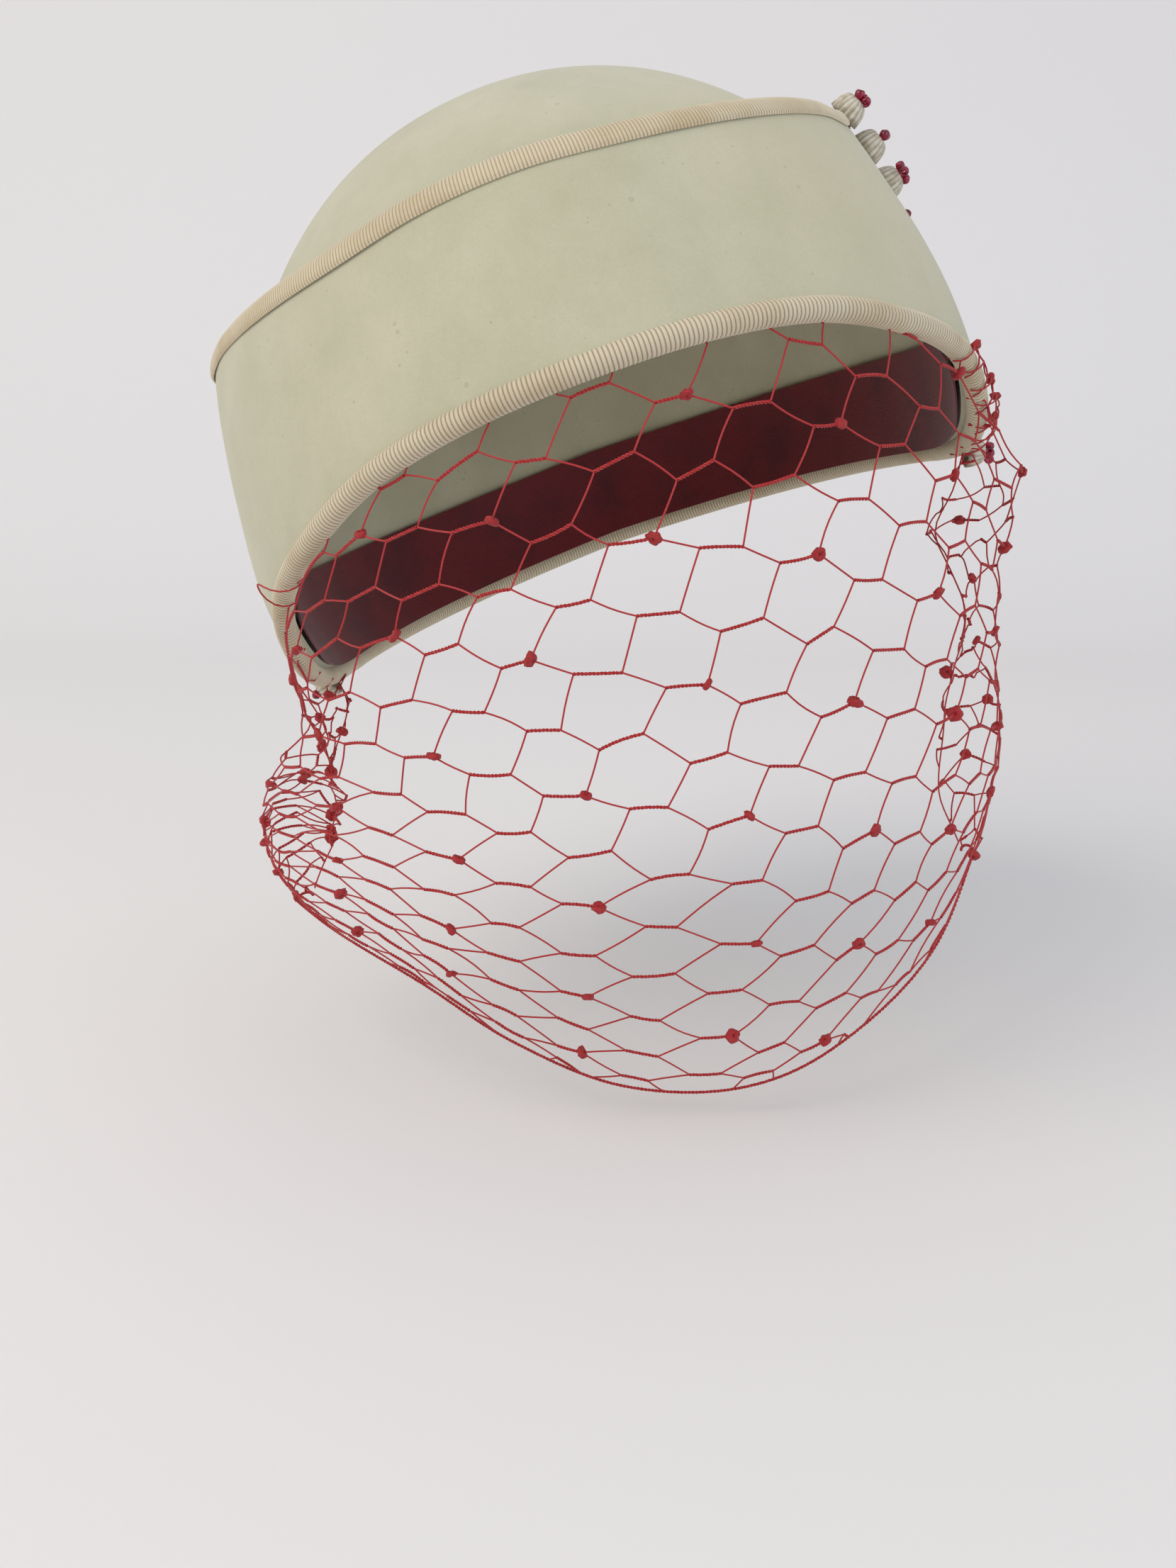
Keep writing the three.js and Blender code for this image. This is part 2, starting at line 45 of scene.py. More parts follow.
# Camera
# A phone held close in front of the face, a little above the veil and tipped down.
CAMERA_PLACE = (0.01373, -0.39316, -0.07638)
CAMERA_PITCH_DEG = 76.5
CAMERA_TURN_DEG = 1.9
CAMERA_LENS_MM = 34.99

bpy.ops.object.camera_add(
    location=CAMERA_PLACE,
    rotation=(math.radians(CAMERA_PITCH_DEG), 0, math.radians(CAMERA_TURN_DEG)),
)
camera = bpy.context.object
camera.data.lens = CAMERA_LENS_MM
camera.data.clip_start = 0.01
bpy.context.scene.camera = camera


# Crown
# One piece of blocked wool felt, a rounded dome whose sides run down inside the cuff.
# Steamed over a block, so it has no seam and only faint dents.
MM = 0.001
LEAN_DEG = 19.85
TURN_DEG = 3.5
SEAT = (25 * MM, 2 * MM, 75.858 * MM)
FELT = 2 * MM
GAP = 0.3 * MM
WALL_GAP = 0.6 * MM
ROLL_RADIUS = 2.6 * MM
CUFF_DEPTH_RATIO = 1.14
CUFF_PROFILE = [
    {"height": -45 * MM, "half_width": 82 * MM},
    {"height": -30 * MM, "half_width": 87.9 * MM},
    {"height": -15 * MM, "half_width": 90.4 * MM},
    {"height": 0 * MM, "half_width": 89.8 * MM},
    {"height": 15 * MM, "half_width": 87.1 * MM},
    {"height": 30 * MM, "half_width": 82.6 * MM},
    {"height": 45 * MM, "half_width": 77.3 * MM},
    {"height": 60 * MM, "half_width": 71.7 * MM},
]
# The roll's height, the cuff's top and its flare, by angle from the front
EDGES = [
    {"angle": -180, "low": -32 * MM, "high": 44 * MM, "flare": 0 * MM},
    {"angle": -130, "low": -34 * MM, "high": 44 * MM, "flare": 1 * MM},
    {"angle": -105, "low": -35 * MM, "high": 45 * MM, "flare": 3 * MM},
    {"angle": -92, "low": -34.5 * MM, "high": 46 * MM, "flare": 4.5 * MM},
    {"angle": -84, "low": -32 * MM, "high": 46.5 * MM, "flare": 4 * MM},
    {"angle": -76, "low": -26.5 * MM, "high": 47.5 * MM, "flare": 2.5 * MM},
    {"angle": -68, "low": -17.2 * MM, "high": 48.3 * MM, "flare": 1.5 * MM},
    {"angle": -60, "low": -9.4 * MM, "high": 49 * MM, "flare": 0.5 * MM},
    {"angle": -42, "low": 1.7 * MM, "high": 50 * MM, "flare": 0 * MM},
    {"angle": -30, "low": 7.4 * MM, "high": 51 * MM, "flare": 0 * MM},
    {"angle": -15, "low": 10.6 * MM, "high": 53.2 * MM, "flare": 0 * MM},
    {"angle": 0, "low": 11.4 * MM, "high": 53.8 * MM, "flare": 0 * MM},
    {"angle": 15, "low": 10.6 * MM, "high": 52.4 * MM, "flare": 0 * MM},
    {"angle": 30, "low": 7.4 * MM, "high": 51.2 * MM, "flare": 0 * MM},
    {"angle": 42, "low": 1.7 * MM, "high": 50.3 * MM, "flare": 0 * MM},
    {"angle": 60, "low": -9.4 * MM, "high": 49 * MM, "flare": 0 * MM},
    {"angle": 68, "low": -17.2 * MM, "high": 48.4 * MM, "flare": 0 * MM},
    {"angle": 76, "low": -26.5 * MM, "high": 48 * MM, "flare": 0.8 * MM},
    {"angle": 84, "low": -32 * MM, "high": 49 * MM, "flare": 2.6 * MM},
    {"angle": 92, "low": -34.5 * MM, "high": 49.5 * MM, "flare": 4 * MM},
    {"angle": 105, "low": -35 * MM, "high": 49.5 * MM, "flare": 3 * MM},
    {"angle": 130, "low": -34 * MM, "high": 46 * MM, "flare": 0 * MM},
    {"angle": 180, "low": -32 * MM, "high": 44 * MM, "flare": 0 * MM},
]
DOME_HALF_WIDTH = 91 * MM
DOME_DEPTH_RATIO = 1.2
DOME_RISE = 111 * MM
DOME_CENTRE_HEIGHT = -29.7 * MM
DOME_CENTRE_BACK = 4 * MM
DOME_POWER = 2.14
# Reach over which the held sides pass softly into the dome
BLEND = 4 * MM
FELT_DENT = 0.25 * MM
FELT_DENT_SPACING = 30 * MM
DENT_UPWARD_SHARE = 0.3
# The stitches pull the felt's lower edge a little way into the roll
FELT_TUCK = 1.3 * MM
CROWN_GRID = (192, 56)
SLOPE_STEP_DEG = 0.5
SHARP_EDGE_DEG = 50
SEAM_REACH = 0.005 * MM

hat_frame = (
    Matrix.Rotation(math.radians(-LEAN_DEG), 4, "Y")
    @ Matrix.Rotation(math.radians(TURN_DEG), 4, "Z")
    @ Matrix.Translation([-x for x in SEAT])
)


def smooth(x):
    x = min(max(x, 0), 1)
    return x * x * (3 - 2 * x)


def along(table, key, column, at):
    """Value of a table's column between its rows, on a smooth curve through them."""
    last = len(table) - 1
    i = 0
    while i < last - 1 and at > table[i + 1][key]:
        i += 1
    a, b = table[i], table[i + 1]
    before, after = table[max(i - 1, 0)], table[min(i + 2, last)]
    span = b[key] - a[key]
    t = min(max((at - a[key]) / span, 0), 1)
    slope_a = (b[column] - before[column]) / (b[key] - before[key])
    slope_b = (after[column] - a[column]) / (after[key] - a[key])
    h = smooth(t)
    start_pull = t * (1 - t) * (1 - t) * span * slope_a
    end_pull = t * t * (t - 1) * span * slope_b
    return a[column] * (1 - h) + b[column] * h + start_pull + end_pull


def edge_low(angle):
    return along(EDGES, "angle", "low", angle)


def edge_high(angle):
    return along(EDGES, "angle", "high", angle)


def dome_point(angle, height, depth):
    rise = min((height - DOME_CENTRE_HEIGHT) / (DOME_RISE - depth), 1)
    share = (1 - max(rise, 0) ** DOME_POWER) ** (1 / DOME_POWER)
    a = math.radians(angle)
    across = (DOME_HALF_WIDTH - depth) * share
    deep = (DOME_HALF_WIDTH * DOME_DEPTH_RATIO - depth) * share
    return Vector(
        (across * math.sin(a), DOME_CENTRE_BACK * share - deep * math.cos(a), height)
    )


def crown_point(angle, height, depth):
    """The dome, held inside the cuff's shape lower down."""
    dome = dome_point(angle, height, depth)
    half_width = along(CUFF_PROFILE, "height", "half_width", height)
    inside = FELT + WALL_GAP + depth
    a = math.radians(angle)
    held = Vector(
        (
            (half_width - inside) * math.sin(a),
            -(half_width * CUFF_DEPTH_RATIO - inside) * math.cos(a),
            height,
        )
    )
    spare = held.xy.length - dome.xy.length
    return held.lerp(dome, smooth(0.5 + spare / (2 * BLEND)))


def curved_grid(name, columns, rows, place, length=1, width=1):
    """A grid primitive with each point moved to place(u, v), and its UV map in metres."""
    bpy.ops.mesh.primitive_grid_add(x_subdivisions=columns, y_subdivisions=rows, size=1)
    made = bpy.context.object
    made.name = made.data.name = name
    for vertex in made.data.vertices:
        vertex.co = place(vertex.co.x + 0.5, vertex.co.y + 0.5)
    for corner in made.data.uv_layers[0].data:
        corner.uv = (corner.uv.x * length, corner.uv.y * width)
    return made


def close_seam(piece):
    """Joins the points that meet where a round shape comes back to its start."""
    bpy.context.view_layer.objects.active = piece
    bpy.ops.object.mode_set(mode="EDIT")
    bpy.ops.mesh.select_all(action="SELECT")
    bpy.ops.mesh.remove_doubles(threshold=SEAM_REACH)
    bpy.ops.object.mode_set(mode="OBJECT")


def give_wall(piece, thickness):
    """Thickens a surface inward."""
    wall = piece.modifiers.new("wall", "SOLIDIFY")
    wall.thickness = thickness
    wall.offset = -1
    bpy.ops.object.modifier_apply(modifier=wall.name)


def join_pieces(parts, name):
    """Joins objects into one and names it."""
    bpy.ops.object.select_all(action="DESELECT")
    for part in parts:
        part.select_set(True)
    bpy.context.view_layer.objects.active = parts[0]
    bpy.ops.object.join()
    made = bpy.context.object
    made.name = made.data.name = name
    return made


def finish_piece(piece, material, slot, *nodes):
    """Gives a piece its material and smooth shading, and lets it stand for its CAD nodes."""
    piece.data.materials.clear()
    piece.data.materials.append(material)
    bpy.ops.object.select_all(action="DESELECT")
    piece.select_set(True)
    bpy.context.view_layer.objects.active = piece
    bpy.ops.object.shade_smooth_by_angle(angle=math.radians(SHARP_EDGE_DEG))
    piece.select_set(False)
    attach(piece, "root")
    if nodes:
        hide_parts(*nodes)


def add_node(material, kind, settings=None, links=None):
    """Adds one node, sets its properties and input values, and feeds its inputs."""
    made = material.node_tree.nodes.new(kind)
    for key, value in (settings or {}).items():
        if isinstance(key, str) and hasattr(made, key):
            setattr(made, key, value)
        else:
            made.inputs[key].default_value = value
    for key, source in (links or {}).items():
        material.node_tree.links.new(source, made.inputs[key])
    return made


def paint(hex_colour):
    """An sRGB hex colour as linear RGBA."""
    parts = [int(hex_colour[i : i + 2], 16) / 255 for i in (1, 3, 5)]
    linear = [p / 12.92 if p <= 0.04045 else ((p + 0.055) / 1.055) ** 2.4 for p in parts]
    return (*linear, 1)


def new_material(name):
    material = bpy.data.materials.new(name)
    material.use_nodes = True
    return material, material.node_tree.nodes["Principled BSDF"]


def two_tones(material, source, low_at, low, high_at, high):
    """Turns a texture's value into a blend from one colour to another."""
    ramp = add_node(material, "ShaderNodeValToRGB", links={"Fac": source})
    stops = ramp.color_ramp.elements
    stops[0].position, stops[0].color = low_at, paint(low)
    stops[1].position, stops[1].color = high_at, paint(high)
    return ramp.outputs["Color"]


def pattern(material, kind, place, settings):
    """Value of a texture of some kind, laid on the surface by its place."""
    made = add_node(material, "ShaderNodeTex" + kind, settings, {"Vector": place})
    return made.outputs["Fac"]


def rescaled(material, value, from_min, from_max, to_min, to_max):
    """Moves a value from one range to another, and keeps it inside."""
    settings = {
        "From Min": from_min,
        "From Max": from_max,
        "To Min": to_min,
        "To Max": to_max,
    }
    made = add_node(material, "ShaderNodeMapRange", settings, {"Value": value})
    return made.outputs["Result"]


def tinted(material, below, share, hex_colour):
    """Lays a share of one colour over what is below it."""
    settings = {"data_type": "RGBA", 7: paint(hex_colour)}
    return add_node(material, "ShaderNodeMix", settings, {0: share, 6: below}).outputs[2]


def finish_surface(material, surface, colour, relief, strength, depth, values):
    """Gives a surface its colour, a fine relief and its other values."""
    bump = add_node(
        material,
        "ShaderNodeBump",
        {"Strength": strength, "Distance": depth},
        {"Height": relief},
    )
    material.node_tree.links.new(colour, surface.inputs["Base Color"])
    material.node_tree.links.new(bump.outputs["Normal"], surface.inputs["Normal"])
    for key, value in values.items():
        surface.inputs[key].default_value = value


# Wool felt: matt and matted, with fibres about 0.3 mm apart, soft clouds from wear,
# small grey-green flecks of lint, and a faint yellow age tint towards the wearer's left.
def wool_felt():
    material, surface = new_material("blocked wool felt")
    place = add_node(material, "ShaderNodeTexCoord").outputs["Object"]
    cloudy = {"Scale": 45, "Detail": 5, "Roughness": 0.6}
    clouds = pattern(material, "Noise", place, cloudy)
    tone = two_tones(material, clouds, 0.3, "#b0ae92", 0.7, "#bcb99f")
    aged_at = add_node(
        material,
        "ShaderNodeVectorMath",
        {"operation": "DISTANCE", 1: (0.075, -0.06, -0.02)},
        {0: place},
    )
    aged = rescaled(material, aged_at.outputs["Value"], 0.01, 0.07, 0.55, 0)
    yellowed = tinted(material, tone, aged, "#bfb690")
    lint = add_node(
        material,
        "ShaderNodeTexVoronoi",
        {"Scale": 320, "Randomness": 1},
        {"Vector": place},
    )
    lint_size = pattern(material, "Noise", place, {"Scale": 90, "Detail": 2})
    lint_reach = rescaled(material, lint_size, 0.42, 0.72, 0, 0.19)
    is_lint = add_node(
        material,
        "ShaderNodeMath",
        {"operation": "LESS_THAN"},
        {0: lint.outputs["Distance"], 1: lint_reach},
    )
    lint_share = add_node(
        material,
        "ShaderNodeMath",
        {"operation": "MULTIPLY", 1: 0.24},
        {0: is_lint.outputs["Value"]},
    )
    flecked = tinted(material, yellowed, lint_share.outputs["Value"], "#7c7f6c")
    fibrous = {"Scale": 1500, "Detail": 6, "Roughness": 0.7, "Distortion": 1.5}
    fibres = pattern(material, "Noise", place, fibrous)
    shown = add_node(
        material,
        "ShaderNodeVectorMath",
        {"operation": "SCALE"},
        {0: flecked, "Scale": rescaled(material, fibres, 0.3, 0.7, 0.93, 1.05)},
    )
    napped = {"Scale": 420, "Detail": 8, "Roughness": 0.75}
    nap = pattern(material, "Noise", place, napped)
    matt = {
        "Roughness": 0.95,
        "Sheen Weight": 0.25,
        "Sheen Roughness": 0.6,
        "Specular IOR Level": 0.15,
    }
    colour = shown.outputs["Vector"]
    finish_surface(material, surface, colour, nap, 0.35, 0.25 * MM, matt)
    return material


felt = wool_felt()


def roll_centre(angle):
    return cuff_point(angle, edge_low(angle), FELT / 2)


def roll_ahead(angle):
    return roll_centre(angle + SLOPE_STEP_DEG) - roll_centre(angle - SLOPE_STEP_DEG)


def felt_bottom(angle):
    """Lower end of the felt, clear of the roll also where the edge climbs."""
    ahead = roll_ahead(angle)
    level = ahead.xy.length / ahead.length
    return edge_low(angle) + (ROLL_RADIUS + GAP) / level


def dented(point):
    """Moves a point of the upright hat by the felt's faint dents, and leans it into place."""
    out = Vector((point.x, point.y, point.z * DENT_UPWARD_SHARE)).normalized()
    dent = noise.noise(point / FELT_DENT_SPACING) * FELT_DENT
    return hat_frame @ (point + out * dent)


# Cuff
# A deep band of the same felt, standing up round the front and both sides.
# Its rear ends bow back halfway up, and are drawn in and sewn to the crown.
CUFF_ENDS = [
    {"height": -36 * MM, "left": -112, "right": 106},
    {"height": 10 * MM, "left": -121, "right": 118},
    {"height": 50 * MM, "left": -112, "right": 92},
]
BOW_FROM_DEG = 60
CUFF_GRID = (220, 36)
DRAWN_IN_DEG = 6
DRAWN_IN_GAP = 1.4 * MM
BINDING_WIDTH = 4.3 * MM
BINDING_THICK = 0.6 * MM


def barrel_point(angle, height, depth):
    flare = along(EDGES, "angle", "flare", angle) * smooth(height / edge_high(angle))
    half_width = along(CUFF_PROFILE, "height", "half_width", height)
    across = half_width + flare - depth
    deep = half_width * CUFF_DEPTH_RATIO + flare - depth
    a = math.radians(angle)
    return Vector((across * math.sin(a), -deep * math.cos(a), height))


def cuff_end(angle, height):
    return abs(along(CUFF_ENDS, "height", "left" if angle < 0 else "right", height))


def cuff_point(angle, height, depth):
    """The barrel shape, drawn in to the crown at the cuff's two rear ends."""
    end = cuff_end(angle, height)
    drawn_in = smooth((abs(angle) - end + DRAWN_IN_DEG) / DRAWN_IN_DEG)
    at_crown = crown_point(angle, height, depth - FELT - DRAWN_IN_GAP)
    return barrel_point(angle, height, depth).lerp(at_crown, drawn_in)


def bowed(angle, height):
    """Angle of a section at some height, moved so that the last one follows the rear end."""
    lowest = cuff_end(angle, CUFF_ENDS[0]["height"])
    share = (cuff_end(angle, height) - BOW_FROM_DEG) / (lowest - BOW_FROM_DEG)
    past = max(abs(angle) - BOW_FROM_DEG, 0)
    return math.copysign(abs(angle) - past + past * share, angle)


def crown_place(u, v):
    angle = -180 + 360 * u
    low = felt_bottom(angle) - FELT_TUCK
    top = DOME_CENTRE_HEIGHT + DOME_RISE
    height = low + (top - low) * math.sin(v * math.pi / 2)
    return dented(crown_point(angle, height, 0))


crown = curved_grid("felt_crown", *CROWN_GRID, crown_place)
close_seam(crown)
give_wall(crown, FELT)
finish_piece(crown, felt, "felt", "crown")


def cuff_place(u, v):
    left, right = CUFF_ENDS[0]["left"], CUFF_ENDS[0]["right"]
    angle = left + (right - left) * u
    low = felt_bottom(angle) - FELT_TUCK
    high = edge_high(angle) - BINDING_THICK - GAP
    height = low + (high - low) * v
    return dented(cuff_point(bowed(angle, height), height, 0))


cuff = curved_grid("felt_cuff", *CUFF_GRID, cuff_place)
give_wall(cuff, FELT)
finish_piece(cuff, felt, "felt", "cuff_band")


# Top binding
# Cream grosgrain ribbon folded over the cuff's top edge and stitched through both sides.
# Its ribs run across, just under 1 mm apart, and it puffs out a little above the stitches.
BINDING_RIB = 0.9 * MM
BINDING_RIB_DEPTH = 0.16 * MM
BINDING_TUCK = 0.6 * MM
# The stitches draw the binding in over the last part of its straight sides
BINDING_TUCK_FROM = 0.6
BINDING_LENGTH = 330 * MM
BINDING_WALL = 0.3 * MM
RIB_STEPS = 5
BINDING_PROFILE_STEPS = 14
GROSGRAIN_THREAD = 0.35 * MM
# A wave texture of scale 1 repeats every 0.314 units
WAVE_SPAN = 0.31416


def binding_place(u, v):
    left, right = CUFF_ENDS[0]["left"], CUFF_ENDS[0]["right"]
    angle = left + (right - left) * u
    high = edge_high(angle)
    half = FELT / 2 + GAP + BINDING_THICK
    turn = (v - 0.5) * 2
    straight = BINDING_WIDTH - half
    run = abs(turn) * (straight + half * math.pi / 2)
    if run < half * math.pi / 2:
        lean = run / half
        side, height = half * math.sin(lean), high - half + half * math.cos(lean)
        out_side, out_up = math.sin(lean), math.cos(lean)
    else:
        down = run - half * math.pi / 2
        drawn = straight * (1 - BINDING_TUCK_FROM)
        tuck = BINDING_TUCK * smooth((down - straight * BINDING_TUCK_FROM) / drawn)
        side, height = half - tuck, high - half - down
        out_side, out_up = 1, 0
    rib = BINDING_RIB_DEPTH * abs(math.sin(math.pi * u * BINDING_LENGTH / BINDING_RIB))
    side += rib * out_side
    height += rib * out_up
    depth = FELT / 2 + math.copysign(side, turn)
    return hat_frame @ cuff_point(bowed(angle, height), height, depth)


# Grosgrain: stout ribbed ribbon, cotton cords under fine silky thread, with a low sheen.
# It has gone a little brown in patches, and the grooves between its ribs carry painted shade.
def ribbed_ribbon(name, light, shade, stain, rib_spacing, thread_spacing):
    material, surface = new_material(name)
    place = add_node(material, "ShaderNodeTexCoord")
    patchy = {"Scale": 60, "Detail": 4, "Roughness": 0.6}
    wear = pattern(material, "Noise", place.outputs["Object"], patchy)
    tone = two_tones(material, wear, 0.32, stain, 0.55, light)
    woven = {
        "bands_direction": "Y",
        "Scale": WAVE_SPAN / thread_spacing,
        "Distortion": 0.6,
        "Detail": 2,
    }
    threads = pattern(material, "Wave", place.outputs["UV"], woven)
    ribbed = {"bands_direction": "X", "Scale": WAVE_SPAN / rib_spacing}
    ribs = pattern(material, "Wave", place.outputs["UV"], ribbed)
    # Painted shade: the grooves between the ribs are darkened.
    painted_rib_shade = rescaled(material, ribs, 0, 0.45, 0.75, 0)
    stains_and_rib_shade = tinted(material, tone, painted_rib_shade, shade)
    silky = {"Roughness": 0.6, "Sheen Weight": 0.2, "Specular IOR Level": 0.3}
    finish_surface(material, surface, stains_and_rib_shade, threads, 0.3, 0.08 * MM, silky)
    return material


cream_grosgrain = ribbed_ribbon(
    "cream grosgrain", "#cabda0", "#8c7d5c", "#bdad8b", BINDING_RIB, GROSGRAIN_THREAD
)
binding = curved_grid(
    "grosgrain_binding",
    round(BINDING_LENGTH / BINDING_RIB) * RIB_STEPS,
    BINDING_PROFILE_STEPS,
    binding_place,
    BINDING_LENGTH,
    2 * BINDING_WIDTH,
)
give_wall(binding, BINDING_WALL)
finish_piece(binding, cream_grosgrain, "grosgrain", "top_binding")


# Edge roll
# A thick cotton cord covered in the same grosgrain, sewn all round the lower edge.
# The ribbon is pulled tight round it, so the ribs stand as rings about 1 mm apart.
ROLL_RIB = 1.0 * MM
ROLL_RIB_DEPTH = 0.2 * MM
ROLL_LENGTH = 595 * MM
ROLL_STEPS = 14


@lru_cache(maxsize=4)
def roll_station(u):
    angle = -180 + 360 * u
    centre = roll_centre(angle)
    ahead = roll_ahead(angle).normalized()
    up = (Vector((0, 0, 1)) - ahead * ahead.z).normalized()
    return centre, up, ahead.cross(up)


def roll_place(u, v):
    centre, up, out = roll_station(round(u % 1, 6))
    turn = v * 2 * math.pi
    rib = ROLL_RIB_DEPTH * abs(math.sin(math.pi * u * ROLL_LENGTH / ROLL_RIB))
    reach = ROLL_RADIUS - ROLL_RIB_DEPTH + rib
    return hat_frame @ (centre + (out * math.cos(turn) + up * math.sin(turn)) * reach)


roll = curved_grid(
    "corded_roll",
    round(ROLL_LENGTH / ROLL_RIB) * RIB_STEPS,
    ROLL_STEPS,
    roll_place,
    ROLL_LENGTH,
    2 * math.pi * ROLL_RADIUS,
)
close_seam(roll)
rolled_grosgrain = ribbed_ribbon(
    "cream grosgrain over cord",
    "#cabea3",
    "#7f7257",
    "#bcac8c",
    ROLL_RIB,
    GROSGRAIN_THREAD,
)
finish_piece(roll, rolled_grosgrain, "grosgrain", "edge_roll")


# Head ribbon
# Dark red grosgrain, 24 mm wide, sewn round the inside of the crown as a sweatband.
RIBBON_WIDTH = 24 * MM
RIBBON_WALL = 0.4 * MM
RIBBON_INSET = 0.3 * MM
RIBBON_OVERHANG = 1.5 * MM
RIBBON_LENGTH = 560 * MM
RIBBON_SLACK = 0.25 * MM
RIBBON_SLACK_DEG = 9
RIBBON_RIB = 0.9 * MM
RIBBON_THREAD = 0.4 * MM
RIBBON_GRID = (240, 10)


def ribbon_place(u, v):
    angle = -180 + 360 * u
    low = felt_bottom(angle) - RIBBON_OVERHANG
    height = low + (RIBBON_WIDTH + RIBBON_OVERHANG) * v
    slack = RIBBON_SLACK * noise.noise(Vector((angle / RIBBON_SLACK_DEG, v, 0)))
    return hat_frame @ crown_point(angle, height, FELT + WALL_GAP + RIBBON_INSET + slack)


dark_red_grosgrain = ribbed_ribbon(
    "dark red grosgrain", "#6c141c", "#3a090e", "#54101a", RIBBON_RIB, RIBBON_THREAD
)
head_ribbon = curved_grid(
    "inner_ribbon", *RIBBON_GRID, ribbon_place, RIBBON_LENGTH, RIBBON_WIDTH
)
close_seam(head_ribbon)
give_wall(head_ribbon, RIBBON_WALL)
finish_piece(head_ribbon, dark_red_grosgrain, "ribbon", "head_ribbon")


# Cups
# Small bells of pleated off-white straw braid, sewn in a row down each end of the cuff.
# Each is drawn to a point at its tip, so its ribs fan out, and its rim is a little uneven.
CUP_ROWS = [
    {"height": -36 * MM, "left": -97, "right": 92},
    {"height": -12 * MM, "left": -100, "right": 102},
    {"height": 8 * MM, "left": -111, "right": 107},
    {"height": 20 * MM, "left": -111, "right": 98},
    {"height": 32 * MM, "left": -108, "right": 88},
    {"height": 48 * MM, "left": -105, "right": 82},
]
CUPS_A_SIDE = 11
CUP_TOP_HEIGHT = 47.5 * MM
CUP_PITCH = 8.35 * MM
CUP_RADIUS = 3.9 * MM
CUP_TIP_RADIUS = 1.2 * MM
CUP_HEIGHT = 5 * MM
CUP_PLEATS = 17
CUP_PLEAT_SHARE = 0.06
CUP_PLEAT_FADE = 0.3
CUP_ROUNDNESS = 0.8
CUP_FOLD_SHARE = 0.14
CUP_RIM_WAVE = 0.5 * MM
CUP_NOD = 0.12
CUP_STEPS_A_PLEAT = 4
CUP_STEPS_UP = 8
CUP_WALL = 0.3 * MM
# The thread pulls each rim a little way into the felt
CUP_SINK = 0.4 * MM
SLOPE_STEP = 0.5 * MM


def cup_seat(side, index):
    """Matrix that puts a cup, whose axis is +Z, on its place down the cuff's rear end."""
    height = CUP_TOP_HEIGHT - index * CUP_PITCH
    angle = along(CUP_ROWS, "height", side, height)
    point = cuff_point(angle, height, 0)
    before, after = [
        cuff_point(angle + turn, height, 0) for turn in (-SLOPE_STEP_DEG, SLOPE_STEP_DEG)
    ]
    below, above = [
        cuff_point(angle, height + rise, 0) for rise in (-SLOPE_STEP, SLOPE_STEP)
    ]
    out = (after - before).cross(above - below).normalized()
    lift = -CUP_SINK
    if height - CUP_RADIUS < edge_low(angle) + ROLL_RADIUS:
        lift += ROLL_RADIUS - FELT / 2
    if height + CUP_RADIUS > edge_high(angle) - BINDING_WIDTH:
        lift += BINDING_THICK
    turned = out.to_track_quat("Z", "Y").to_matrix().to_4x4()
    return hat_frame @ Matrix.Translation(point + out * lift) @ turned


def cup_place(u, v, seed):
    turn = u * 2 * math.pi
    rise = v * math.pi / 2
    across, deep = math.cos(turn), math.sin(turn)
    spread = (CUP_RADIUS - CUP_TIP_RADIUS) * math.cos(rise) ** CUP_ROUNDNESS
    pleat = CUP_PLEAT_SHARE * math.cos(CUP_PLEATS * turn) * (1 - CUP_PLEAT_FADE * v)
    fold = CUP_FOLD_SHARE * noise.noise(Vector((across, deep, seed))) * (1 - v)
    radius = (CUP_TIP_RADIUS + spread) * (1 + pleat + fold)
    rim = CUP_RIM_WAVE * noise.noise(Vector((across * 2, deep * 2, seed)))
    height = CUP_HEIGHT * math.sin(rise) + rim * (1 - v)
    return Vector((radius * across, radius * deep, max(height, 0)))


# Straw braid: rayon straw ribbon with a soft gloss, with painted shade in the folds of its
# pleats and a darker band of painted shade where the rim meets the felt.
def straw_braid():
    material, surface = new_material("pleated rayon straw braid")
    place = add_node(material, "ShaderNodeTexCoord")
    speckled = {"Scale": 600, "Detail": 3}
    wear = pattern(material, "Noise", place.outputs["Object"], speckled)
    tone = two_tones(material, wear, 0.35, "#a99f86", 0.6, "#cbc4b2")
    pleated = {
        "bands_direction": "X",
        "Scale": WAVE_SPAN * CUP_PLEATS / (2 * math.pi * CUP_RADIUS),
        "Phase Offset": math.pi,
    }
    pleats = pattern(material, "Wave", place.outputs["UV"], pleated)
    # Painted shade: the folds of the pleats are darkened.
    painted_pleat_shade = rescaled(material, pleats, 0, 0.5, 0.5, 0)
    pleat_shaded = tinted(material, tone, painted_pleat_shade, "#7d7458")
    parts = add_node(
        material, "ShaderNodeSeparateXYZ", links={"Vector": place.outputs["UV"]}
    )
    # Painted shade: a darker band along the rim, where the cup meets the felt.
    painted_rim_shade = rescaled(material, parts.outputs["Y"], 0, 1.1 * MM, 0.75, 0)
    pleat_and_rim_shaded = tinted(material, pleat_shaded, painted_rim_shade, "#6a6145")
    stringy = {"Scale": WAVE_SPAN / (0.12 * MM), "Distortion": 1.5, "Detail": 1}
    fibres = pattern(material, "Wave", place.outputs["UV"], stringy)
    glossy = {"Roughness": 0.36, "Coat Weight": 0.2}
    finish_surface(material, surface, pleat_and_rim_shaded, fibres, 0.3, 0.05 * MM, glossy)
    return material


